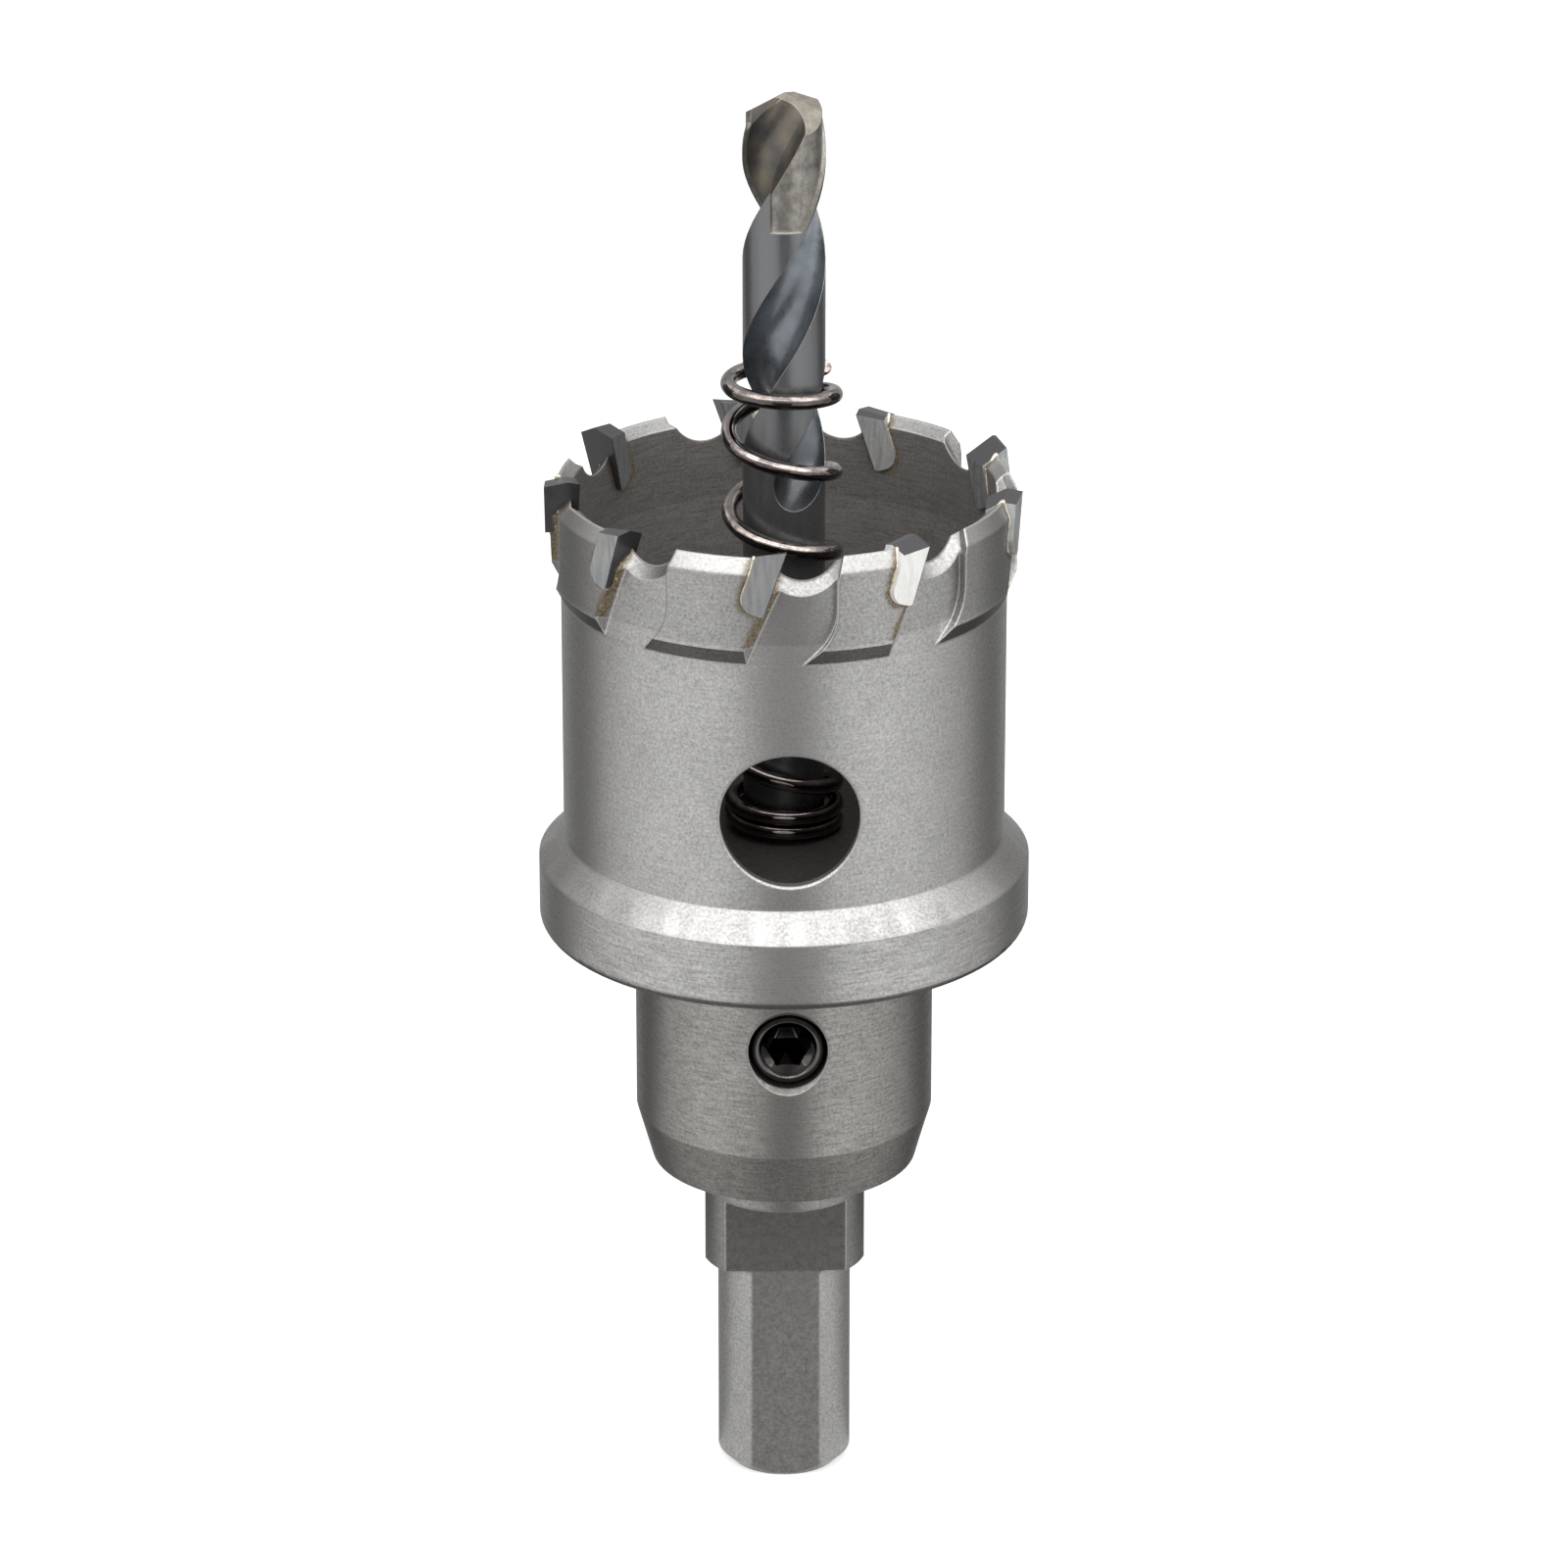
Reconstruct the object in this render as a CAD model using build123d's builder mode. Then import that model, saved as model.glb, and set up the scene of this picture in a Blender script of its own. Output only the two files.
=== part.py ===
"""Hole saw with nine brazed carbide teeth, a pilot drill, a grub screw and an ejector spring.

Millimetres, +Z up. The origin is the centre of the shank's end face, and the drill points up.
The slug window, the grub screw and one of the three shank flats face -Y.
A bearing is an angle about the axis, from -Y towards +X, seen from above.
"""

from build123d import *

import math
import os
from typing import NamedTuple

# Turned body: each length is stacked on the one below it
SHANK_RADIUS = 5.0
SHANK_LENGTH = 17.25
SHANK_CHAMFER = 0.85
NECK_STEP = 1.25
NECK_LENGTH = 8.35
HUB_CONE_STEP = 1.17
HUB_CONE_LENGTH = 4.15
HUB_RADIUS = 11.07
HUB_LENGTH = 14.8
FLANGE_STEP = 1.85
FLANGE_SIDE = 5.3
FLANGE_BEVEL = 1.9
CUP_RADIUS = 16.3
CUP_LENGTH = 18.9
BAND_STEP = 0.75
BAND_BEVEL = 1.4
BAND_LENGTH = 5.75
RIM_RISE = 1.15
WALL = 0.8
CREST_INSET = 0.95
INNER_FALL = 0.68
FLOOR_LIFT = 0.15

# Edges left round by the turning tool
FLANGE_ROUND = 1.0
NECK_ROUND = 1.2
SHOULDER_ROUND = 0.3

# Three flats for a drill chuck, milled along shank and neck
FLAT_COUNT = 3
FLAT_DISTANCE = 4.3
FLAT_TOP_GAP = 2.55
FLAT_CORNER = 1.9

# Slug window through one side of the cup
WINDOW_RADIUS = 5.05
WINDOW_HEIGHT = 6.95
WINDOW_CHAMFER = 0.12

# Pilot drill and its bore
DRILL_RADIUS = 3.0
DRILL_CLEARANCE = 0.02
DRILL_SOCKET = 20.9
DRILL_LENGTH = 77.2
BORE_CONE = 59.0
FLUTE_LEAD = 30.0
FLUTE_RADIUS = 1.95
WEB_RADIUS = 0.55
FLUTE_BEARING = -0.1
FLUTE_HALF_TURN = 46.0
RUNOUT_START = 29.5
RUNOUT_WHEEL = 4.2
RUNOUT_TURN = 80.0
RUNOUT_SLANT = 58.0
DRILL_CHAMFER = 0.3
LIP_BEARING = 116.4
HEEL_TURN = 75.0
MID_TURN = 28.0
LIP_FALL = 1.0
MID_FALL = 1.6
HEEL_FALL = 2.7
RELIEF_LENGTH = 9.6
RELIEF_DEPTH = 0.26
RELIEF_EDGE = 1.08
MARGIN_TURN = 7.0
LAND_TURN = 100.0
LIP_OFFSET = 0.45
GASH_FALL = 2.5
GASH_WIDTH = 1.6

# Grub screw across the hub
SCREW_RADIUS = 2.9
SCREW_CLEARANCE = 0.05
SCREW_LENGTH = 8.0
SCREW_HEIGHT = 12.6
SCREW_FLAT_DEPTH = 0.6
SCREW_FLAT_LENGTH = 7.4
SCREW_SINK = 0.4
SCREW_CHAMFER = 0.3
SCREW_POINT = 0.9
SOCKET_ACROSS_FLATS = 3.0
SOCKET_DEPTH = 3.2

# Ejector spring, wound left-handed
WIRE_RADIUS = 0.5
COIL_CLEARANCE = 0.2
SPRING_GAP = 0.02
SPRING_TURNS = 7.92
SPRING_BEARING = 90.0
CLOSED_PITCH = 1.04
OPEN_PITCH = 6.16
TOP_PITCH = 0.2
OPENING_START = 1.65
OPENING_END = 2.2
CLOSING_START = 6.75
CLOSING_END = 7.45
STEPS_PER_TURN = 8

# Carbide tips, brazed in slots that lean forwards with the rake
TIP_PROUD_OUTSIDE = 0.45
TIP_PROUD_INSIDE = 0.7
TIP_THICKNESS = 1.95
TIP_LENGTH = 5.1
TIP_RAKE = 18.5
TIP_HEIGHT = 0.6
TIP_HEEL_ROUND = 1.1
TIP_TOE_ROUND = 0.35
TIP_SIDE_RELIEF = 6.0
TIP_TOP_RELIEF = 8.5



class Grind(NamedTuple):
    """Top of a tip: heights above the rim's crest, and how far in from the outer face the ridge is."""

    outer: float
    ridge_inset: float
    ridge: float
    inner: float


class Tooth(NamedTuple):
    """One tip: bearing of its cutting corner, its grind, and its lift above that grind's heights."""

    bearing: float
    grind: Grind
    lift: float


INWARD = Grind(outer=0.72, ridge_inset=0.3, ridge=0.75, inner=-0.25)
OUTWARD = Grind(outer=0.0, ridge_inset=1.8, ridge=0.35, inner=0.15)
LOW_ROOF = Grind(outer=0.28, ridge_inset=1.2, ridge=0.4, inner=-0.25)
HIGH_ROOF = Grind(outer=0.49, ridge_inset=1.3, ridge=1.1, inner=0.45)
RISING = Grind(outer=0.42, ridge_inset=2.4, ridge=1.1, inner=1.05)

# The pitch is unequal, so that the saw doesn't chatter
TEETH = (
    Tooth(-43.6, LOW_ROOF, 0.1),
    Tooth(-1.1, INWARD, 0.0),
    Tooth(35.4, OUTWARD, 0.05),
    Tooth(79.9, LOW_ROOF, -0.15),
    Tooth(115.4, INWARD, -0.1),
    Tooth(157.9, OUTWARD, 0.0),
    Tooth(196.4, RISING, 0.0),
    Tooth(237.4, HIGH_ROOF, 0.0),
    Tooth(273.9, OUTWARD, -0.05),
)

# Gullet ahead of each tip: a round notch whose floor falls outwards
GULLET_RADIUS = 2.9
GULLET_AHEAD = 1.45
GULLET_DEPTH = 2.07
GULLET_FLARE = 0.59
GULLET_DROP = 0.47
GULLET_WIDTH = 4.1
GULLET_LEAN = 12.4

# Flute on the outside of the band, under each gullet
FLUTE_FLOOR_STEP = 0.05
FLUTE_WIDTH = 3.7
FLUTE_LEAN = 25.0
FLUTE_FOOT = 0.62
FLUTE_SIDE_LENGTH = 3.95
FLUTE_SWEEP_DROP = 3.2
FLUTE_SWEEP_IN = 1.4
FLUTE_TAIL_IN = 1.9
FLUTE_WALL_SLOPE = 1.15

# Radii and heights that follow from the sizes above
NECK_RADIUS = SHANK_RADIUS + NECK_STEP
HUB_FOOT_RADIUS = HUB_RADIUS - HUB_CONE_STEP
FLANGE_RADIUS = CUP_RADIUS + FLANGE_STEP
BAND_RADIUS = CUP_RADIUS + BAND_STEP
CUP_INNER = CUP_RADIUS - WALL
CREST_RADIUS = CUP_INNER + CREST_INSET
FLUTE_FLOOR = CUP_RADIUS + FLUTE_FLOOR_STEP
TIP_OUTER = BAND_RADIUS + TIP_PROUD_OUTSIDE
TIP_INNER = CUP_INNER - TIP_PROUD_INSIDE
COIL_RADIUS = DRILL_RADIUS + COIL_CLEARANCE + WIRE_RADIUS
NECK_BOTTOM = SHANK_LENGTH
HUB_BOTTOM = NECK_BOTTOM + NECK_LENGTH
HUB_CONE_TOP = HUB_BOTTOM + HUB_CONE_LENGTH
FLANGE_BOTTOM = HUB_CONE_TOP + HUB_LENGTH
FLANGE_TOP = FLANGE_BOTTOM + FLANGE_SIDE
CUP_BOTTOM = FLANGE_TOP + FLANGE_BEVEL
CUP_FLOOR = CUP_BOTTOM + FLOOR_LIFT
CUP_TOP = CUP_BOTTOM + CUP_LENGTH
BAND_BOTTOM = CUP_TOP + BAND_BEVEL
BAND_TOP = BAND_BOTTOM + BAND_LENGTH
CREST = BAND_TOP + RIM_RISE
SCREW_AXIS = HUB_BOTTOM + SCREW_HEIGHT
SCREW_SEAT = DRILL_RADIUS - SCREW_FLAT_DEPTH
DRILL_SEAT = CUP_FLOOR - DRILL_SOCKET
DRILL_TIP = DRILL_SEAT + DRILL_LENGTH

os.makedirs("parts", exist_ok=True)


def turned(bearing):
    """Location that turns a cutter or a tip from the front of the saw to its bearing."""
    return Location((0, 0, 0), (0, 0, bearing))


def tip_side(reach):
    """Side view of a tip, seen from outside: leaning plate with a rounded root.

    reach is how far the plate runs on above the cutting corner, before it is ground.
    """
    lean = math.radians(TIP_RAKE)
    up = Vector(math.sin(lean), math.cos(lean))
    back = Vector(-math.cos(lean), math.sin(lean))
    corner = Vector(0, CREST + TIP_HEIGHT)
    toe = corner - up * TIP_LENGTH
    front = corner + up * reach
    with BuildSketch(Plane.XZ.offset(TIP_INNER - 1)) as side:
        with BuildLine():
            Polyline(toe, front, front + back * TIP_THICKNESS, toe + back * TIP_THICKNESS, close=True)
        make_face()
        heel = toe + back * TIP_THICKNESS
        fillet(side.vertices().sort_by_distance(heel)[0], min(TIP_HEEL_ROUND, 0.6 * TIP_THICKNESS))
        fillet(side.vertices().sort_by_distance(toe)[0], min(TIP_TOE_ROUND, 0.2 * TIP_THICKNESS))
    return side.sketch


tip_profile = tip_side(3.0)


# Gullet cutter, at the front of the saw
with BuildPart() as gullet_cutter:
    for distance in (CUP_INNER - 1.2, BAND_RADIUS + 1.2):
        growth = distance - CUP_INNER
        radius = GULLET_RADIUS + GULLET_FLARE * growth
        height = CREST - GULLET_DEPTH + GULLET_RADIUS - GULLET_DROP * growth
        with BuildSketch(Plane.XZ.offset(distance)):
            with Locations((GULLET_AHEAD, height)):
                Circle(radius)
    loft()
    with BuildSketch(Plane.XZ.offset(CUP_INNER - 2)):
        low = CREST - 3 * GULLET_DEPTH
        high = CREST + GULLET_DEPTH
        lean = math.tan(math.radians(GULLET_LEAN))
        rake_lean = math.tan(math.radians(TIP_RAKE))
        with BuildLine():
            Polyline(
                (GULLET_WIDTH - (CREST - low) * lean, low),
                (GULLET_WIDTH + (high - CREST) * lean, high),
                (-0.5 * TIP_THICKNESS + (high - CREST - TIP_HEIGHT) * rake_lean, high),
                (-0.5 * TIP_THICKNESS - (CREST + TIP_HEIGHT - low) * rake_lean, low),
                close=True,
            )
        make_face()
    extrude(amount=BAND_RADIUS - CUP_INNER + 4, mode=Mode.INTERSECT)

# Flute cutter for the band, at the front of the saw
with BuildPart() as flute_cutter:
    for distance in (FLUTE_FLOOR - 1, BAND_RADIUS + 1):
        spread = FLUTE_WALL_SLOPE * (distance - FLUTE_FLOOR)
        foot = CUP_TOP - FLUTE_FOOT
        side_end = CREST - FLUTE_SIDE_LENGTH
        slant = math.tan(math.radians(FLUTE_LEAN))
        wall_top = GULLET_AHEAD - spread - slant * 0.5
        sweep_end = (FLUTE_WIDTH - FLUTE_SWEEP_IN, side_end - FLUTE_SWEEP_DROP)
        with BuildSketch(Plane.XZ.offset(distance)):
            with BuildLine():
                Line((FLUTE_WIDTH, CREST + 1), (FLUTE_WIDTH, side_end))
                TangentArc((FLUTE_WIDTH, side_end), sweep_end, tangent=(0, -1))
                Polyline(
                    sweep_end,
                    (sweep_end[0] - FLUTE_TAIL_IN, foot),
                    (wall_top - slant * (CREST + 1 - foot), foot),
                    (wall_top, CREST + 1),
                    (FLUTE_WIDTH, CREST + 1),
                )
            make_face()
    loft(ruled=True)
    with Locations((0, 0, CUP_TOP - 3)):
        Cylinder(
            FLUTE_FLOOR,
            CREST - CUP_TOP + 8,
            align=(Align.CENTER, Align.CENTER, Align.MIN),
            mode=Mode.SUBTRACT,
        )

# One-piece steel body: shank, neck, hub, flange, cup and toothed rim
with BuildPart() as cutter_body:
    with BuildSketch(Plane.XZ) as profile:
        with BuildLine():
            Polyline(
                (0, 0),
                (SHANK_RADIUS - SHANK_CHAMFER, 0),
                (SHANK_RADIUS, SHANK_CHAMFER),
                (SHANK_RADIUS, NECK_BOTTOM),
                (NECK_RADIUS, NECK_BOTTOM),
                (NECK_RADIUS, HUB_BOTTOM),
                (HUB_FOOT_RADIUS, HUB_BOTTOM),
                (HUB_RADIUS, HUB_CONE_TOP),
                (HUB_RADIUS, FLANGE_BOTTOM),
                (FLANGE_RADIUS, FLANGE_BOTTOM),
                (FLANGE_RADIUS, FLANGE_TOP),
                (CUP_RADIUS, CUP_BOTTOM),
                (CUP_RADIUS, CUP_TOP),
                (BAND_RADIUS, BAND_BOTTOM),
                (BAND_RADIUS, BAND_TOP),
                (CREST_RADIUS, CREST),
                (CUP_INNER, CREST - INNER_FALL),
                (CUP_INNER, CUP_FLOOR),
                (0, CUP_FLOOR),
                close=True,
            )
        make_face()
        rounds = (
            ((FLANGE_RADIUS, FLANGE_BOTTOM), FLANGE_ROUND),
            ((NECK_RADIUS, HUB_BOTTOM), NECK_ROUND),
            ((SHANK_RADIUS, NECK_BOTTOM), SHOULDER_ROUND),
        )
        for corner, size in rounds:
            fillet(profile.vertices().sort_by_distance(corner)[0], size)
    revolve(axis=Axis.Z)

    # Chuck flats, with their upper corners rounded by the milling cutter
    flat_height = HUB_BOTTOM - FLAT_TOP_GAP
    with BuildPart(mode=Mode.PRIVATE) as flat_cutter:
        with BuildSketch(Plane.XZ.offset(FLAT_DISTANCE)) as flat:
            with Locations((0, flat_height / 2 - 1)):
                Rectangle(2 * NECK_RADIUS, flat_height + 2)
            fillet(flat.vertices().group_by(Axis.Y)[-1], FLAT_CORNER)
        extrude(amount=NECK_RADIUS)
    with PolarLocations(0, FLAT_COUNT):
        add(flat_cutter.part, mode=Mode.SUBTRACT)

    # Blind bore for the pilot drill
    with BuildSketch(Plane.XZ):
        bore = DRILL_RADIUS + DRILL_CLEARANCE
        with BuildLine():
            Polyline(
                (0, CUP_FLOOR + 1),
                (0, DRILL_SEAT - bore / math.tan(math.radians(BORE_CONE))),
                (bore, DRILL_SEAT),
                (bore, CUP_FLOOR + 1),
                close=True,
            )
        make_face()
    revolve(axis=Axis.Z, mode=Mode.SUBTRACT)

    # Screw hole with its countersink, and the slug window
    with BuildSketch(Plane.XZ.offset(DRILL_RADIUS / 2)):
        with Locations((0, SCREW_AXIS)):
            Circle(SCREW_RADIUS + SCREW_CLEARANCE)
    extrude(amount=HUB_RADIUS, mode=Mode.SUBTRACT)
    with Locations(Plane.XZ.offset(HUB_RADIUS + 1) * Location((0, SCREW_AXIS, 0))):
        Cone(
            SCREW_RADIUS + SCREW_CLEARANCE + SCREW_SINK - 2,
            SCREW_RADIUS + SCREW_CLEARANCE + SCREW_SINK + 1,
            3,
            align=(Align.CENTER, Align.CENTER, Align.MAX),
            mode=Mode.SUBTRACT,
        )
    with BuildSketch(Plane.XZ.offset(CUP_INNER / 2)):
        with Locations((0, CUP_BOTTOM + WINDOW_HEIGHT)):
            Circle(WINDOW_RADIUS)
    extrude(amount=CUP_RADIUS, mode=Mode.SUBTRACT)
    window_top = Vector(0, -CUP_RADIUS, CUP_BOTTOM + WINDOW_HEIGHT + WINDOW_RADIUS)
    chamfer(cutter_body.edges().sort_by_distance(window_top)[0], WINDOW_CHAMFER)

    # Flutes, gullets and tip slots round the rim
    tip_slot = extrude(tip_profile, amount=BAND_RADIUS - TIP_INNER + 2, mode=Mode.PRIVATE)
    for tooth in TEETH:
        with Locations(turned(tooth.bearing)):
            add(flute_cutter.part, mode=Mode.SUBTRACT)
            add(gullet_cutter.part, mode=Mode.SUBTRACT)
            add(tip_slot, mode=Mode.SUBTRACT)
cutter_body.part.label = "cutter_body"
export_step(cutter_body.part, "parts/cutter_body.step")

# Carbide tips: plan with side relief, leaning side view, and the grind on top
relief = math.radians(TIP_TOP_RELIEF)
side_slope = math.tan(math.radians(TIP_SIDE_RELIEF))
reach_back = 2.5 * TIP_THICKNESS
for number, tooth in enumerate(TEETH, start=1):
    grind = tooth.grind
    datum = CREST + tooth.lift + TIP_THICKNESS * math.tan(relief)
    with BuildPart() as carbide_tip:
        with BuildSketch(Plane.XY.offset(BAND_BOTTOM)):
            with BuildLine():
                Polyline(
                    (TIP_THICKNESS, -TIP_OUTER - side_slope * TIP_THICKNESS),
                    (TIP_THICKNESS, -TIP_INNER + side_slope * TIP_THICKNESS),
                    (-reach_back, -TIP_INNER - side_slope * reach_back),
                    (-reach_back, -TIP_OUTER + side_slope * reach_back),
                    close=True,
                )
            make_face()
        extrude(amount=2 * TIP_LENGTH)
        extrude(tip_profile, amount=TIP_OUTER - TIP_INNER + 2, mode=Mode.INTERSECT)
        with BuildSketch(Plane.YZ.offset(TIP_THICKNESS)):
            with BuildLine():
                Polyline(
                    (-TIP_OUTER - 1, BAND_BOTTOM),
                    (-TIP_OUTER - 1, datum + grind.outer),
                    (-TIP_OUTER, datum + grind.outer),
                    (-TIP_OUTER + grind.ridge_inset, datum + grind.ridge),
                    (-TIP_INNER, datum + grind.inner),
                    (-TIP_INNER + 1, datum + grind.inner),
                    (-TIP_INNER + 1, BAND_BOTTOM),
                    close=True,
                )
            make_face()
        extrude(
            amount=reach_back + 2 * TIP_THICKNESS,
            dir=(-math.cos(relief), 0, -math.sin(relief)),
            mode=Mode.INTERSECT,
        )
    tip = turned(tooth.bearing) * carbide_tip.part
    tip.label = f"carbide_tip_{number}"
    export_step(tip, f"parts/carbide_tip_{number}.step")

# Grinding path of one drill flute: a helix, then a round run-out that leaves the axis at a slant
helix_radius = WEB_RADIUS + FLUTE_RADIUS
runout = CUP_FLOOR + RUNOUT_START
runout_turn = math.radians(RUNOUT_TURN)
runout_slant = math.radians(RUNOUT_SLANT)
with BuildLine() as flute_path:
    helix = Helix(FLUTE_LEAD, DRILL_TIP + 3 - runout, helix_radius, center=(0, 0, runout))
    start = helix @ 0
    heading = helix % 0
    outwards = Vector(start.X, start.Y, 0).normalized()
    leaving = outwards * math.cos(runout_slant) - heading.cross(outwards) * math.sin(runout_slant)
    exits = []
    for angle in (runout_turn / 2, runout_turn):
        away = leaving * (1 - math.cos(angle)) - heading * math.sin(angle)
        exits.append(start + away * RUNOUT_WHEEL)
    ThreePointArc(exits[1], exits[0], start)

with BuildPart() as flute_wheel:
    with BuildSketch(Plane(origin=helix @ 1, z_dir=helix % 1)):
        Circle(FLUTE_RADIUS)
    sweep(path=flute_path.line)

# Relief of one land: what is ground off between the margin and the heel
relief_bottom = DRILL_TIP - RELIEF_LENGTH
turn_per_mm = 360 / FLUTE_LEAD
land_front = FLUTE_BEARING + 180 - FLUTE_HALF_TURN - (RELIEF_LENGTH - LIP_FALL) * turn_per_mm
with BuildPart() as land_grinder:
    with BuildLine() as land_path:
        Helix(FLUTE_LEAD, RELIEF_LENGTH + 1, DRILL_RADIUS, center=(0, 0, relief_bottom))
    with BuildSketch(Plane.XY.offset(relief_bottom)):
        with BuildLine():
            first = land_front - MARGIN_TURN - 90
            last = land_front - LAND_TURN - 90
            outer = CenterArc((0, 0), 1.2 * DRILL_RADIUS, last, first - last)
            inner = CenterArc((0, 0), DRILL_RADIUS - RELIEF_DEPTH, last, first - last)
            Line(outer @ 0, inner @ 0)
            Line(outer @ 1, inner @ 1)
        make_face()
    sweep(path=land_path.line, is_frenet=True)
    with Locations((-RELIEF_EDGE, 0, relief_bottom - 1)):
        Box(
            4 * DRILL_RADIUS,
            4 * DRILL_RADIUS,
            RELIEF_LENGTH + 4,
            align=(Align.MIN, Align.CENTER, Align.MIN),
            mode=Mode.INTERSECT,
        )

# Gash that straightens a lip: its wall stands ahead of the axis, its floor falls from the tip
with BuildPart() as lip_gash:
    with BuildSketch(Plane.YZ.offset(LIP_OFFSET)):
        with BuildLine():
            Polyline(
                (0, DRILL_TIP),
                (0, DRILL_TIP + 1),
                (-2 * DRILL_RADIUS, DRILL_TIP + 1),
                (-2 * DRILL_RADIUS, DRILL_TIP - 2 * GASH_FALL),
                close=True,
            )
        make_face()
    extrude(amount=GASH_WIDTH)

# Pilot drill: two flutes, two relieved lands, gashed lips, four point facets and a screw flat
path_bearing = FLUTE_BEARING - (DRILL_TIP - LIP_FALL - runout) * turn_per_mm
gash_bearing = LIP_BEARING - math.degrees(math.asin(LIP_OFFSET / DRILL_RADIUS))
point_falls = ((0, LIP_FALL), (MID_TURN, MID_FALL), (HEEL_TURN, HEEL_FALL))
with BuildPart() as pilot_drill:
    with Locations((0, 0, DRILL_SEAT)):
        Cylinder(
            DRILL_RADIUS,
            DRILL_TIP - DRILL_SEAT,
            align=(Align.CENTER, Align.CENTER, Align.MIN),
        )
    chamfer(pilot_drill.faces().sort_by(Axis.Z)[0].edges(), DRILL_CHAMFER)
    for side in (0, 180):
        with Locations(turned(path_bearing - 90 + side)):
            add(flute_wheel.part, mode=Mode.SUBTRACT)
        with Locations(turned(side)):
            add(land_grinder.part, mode=Mode.SUBTRACT)
        with Locations(turned(gash_bearing + side)):
            add(lip_gash.part, mode=Mode.SUBTRACT)
    for side in (0, 180):
        rays = []
        for behind, fall in point_falls:
            bearing = math.radians(LIP_BEARING - behind + side)
            rays.append(Vector(DRILL_RADIUS * math.sin(bearing), -DRILL_RADIUS * math.cos(bearing), -fall))
        for ahead, behind in zip(rays, rays[1:]):
            facet = Plane(origin=(0, 0, DRILL_TIP), z_dir=behind.cross(ahead))
            split(bisect_by=facet, keep=Keep.BOTTOM)
    with Locations((0, -SCREW_SEAT, SCREW_AXIS)):
        Box(
            2 * DRILL_RADIUS,
            DRILL_RADIUS,
            SCREW_FLAT_LENGTH,
            align=(Align.CENTER, Align.MAX, Align.CENTER),
            mode=Mode.SUBTRACT,
        )
pilot_drill.part.label = "pilot_drill"
export_step(pilot_drill.part, "parts/pilot_drill.step")

# Grub screw: its point bears on the drill's flat, its hexagon socket faces out
with BuildPart() as set_screw:
    with BuildSketch(Plane.XZ.offset(SCREW_SEAT)):
        with Locations((0, SCREW_AXIS)):
            Circle(SCREW_RADIUS)
    extrude(amount=SCREW_LENGTH)
    ends = set_screw.faces().sort_by(Axis.Y)
    chamfer(ends[0].edges(), SCREW_CHAMFER)
    chamfer(ends[-1].edges(), SCREW_POINT)
    with BuildSketch(Plane.XZ.offset(SCREW_SEAT + SCREW_LENGTH)):
        with Locations((0, SCREW_AXIS)):
            RegularPolygon(SOCKET_ACROSS_FLATS / 2, 6, major_radius=False, rotation=30)
    extrude(amount=-SOCKET_DEPTH, mode=Mode.SUBTRACT)
set_screw.part.label = "set_screw"
export_step(set_screw.part, "parts/set_screw.step")


def ramp(turns, low, high):
    """Smooth step from 0 to 1 while turns goes from low to high."""
    share = min(max((turns - low) / (high - low), 0), 1)
    return share * share * (3 - 2 * share)


def coil_pitch(turns):
    """Rise per turn of the spring: closed at the foot, open in the middle, closed at the top."""
    opened = ramp(turns, OPENING_START, OPENING_END)
    closed = ramp(turns, CLOSING_START, CLOSING_END)
    return CLOSED_PITCH + (OPEN_PITCH - CLOSED_PITCH) * opened + (TOP_PITCH - OPEN_PITCH) * closed


# Ejector spring, standing on the cup's floor round the drill
with BuildPart() as ejector_spring:
    with BuildLine() as wire_path:
        steps = round(SPRING_TURNS * STEPS_PER_TURN)
        stride = SPRING_TURNS / steps
        height = CUP_FLOOR + SPRING_GAP + WIRE_RADIUS
        points = []
        for step in range(steps + 1):
            angle = math.radians(SPRING_BEARING - 90 - 360 * step * stride)
            points.append((COIL_RADIUS * math.cos(angle), COIL_RADIUS * math.sin(angle), height))
            height += coil_pitch((step + 0.5) * stride) * stride
        Spline(*points)
    with BuildSketch(Plane(origin=wire_path.line @ 0, z_dir=wire_path.line % 0)):
        Circle(WIRE_RADIUS)
    sweep(path=wire_path.line)
ejector_spring.part.label = "ejector_spring"
export_step(ejector_spring.part, "parts/ejector_spring.step")
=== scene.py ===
"""Carbide hole saw on a pale floor: finishes, fine pieces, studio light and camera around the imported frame.

Metres, +Z up, in the frame of the solids. The slug window and the grub screw face -Y.
Sizes named in the classes are millimetres, and a bearing is an angle about the axis from -Y towards +X.
"""

import logging
import math
from dataclasses import dataclass, field
from enum import Enum

import bpy
import numpy as np
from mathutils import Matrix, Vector


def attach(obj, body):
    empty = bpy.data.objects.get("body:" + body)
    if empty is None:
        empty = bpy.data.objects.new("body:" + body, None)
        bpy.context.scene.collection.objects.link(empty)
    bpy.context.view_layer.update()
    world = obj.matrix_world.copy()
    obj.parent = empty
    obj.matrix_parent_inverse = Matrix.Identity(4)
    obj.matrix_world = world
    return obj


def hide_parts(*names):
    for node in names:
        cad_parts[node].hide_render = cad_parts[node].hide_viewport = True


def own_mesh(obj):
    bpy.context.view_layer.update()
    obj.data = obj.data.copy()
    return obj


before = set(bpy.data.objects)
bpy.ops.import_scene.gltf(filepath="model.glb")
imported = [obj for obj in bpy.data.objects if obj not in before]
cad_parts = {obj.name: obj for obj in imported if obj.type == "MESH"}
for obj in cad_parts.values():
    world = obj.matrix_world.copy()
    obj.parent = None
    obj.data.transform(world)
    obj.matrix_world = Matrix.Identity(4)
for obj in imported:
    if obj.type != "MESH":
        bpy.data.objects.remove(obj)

LOG = logging.getLogger("hole_saw")
MM = 0.001
BODY = "saw"
TOOTH_BEARINGS = (-43.6, -1.1, 35.4, 79.9, 115.4, 157.9, 196.4, 237.4, 273.9)
TIP_CORNER = 79.55
TIP_THICKNESS = 1.95
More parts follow.
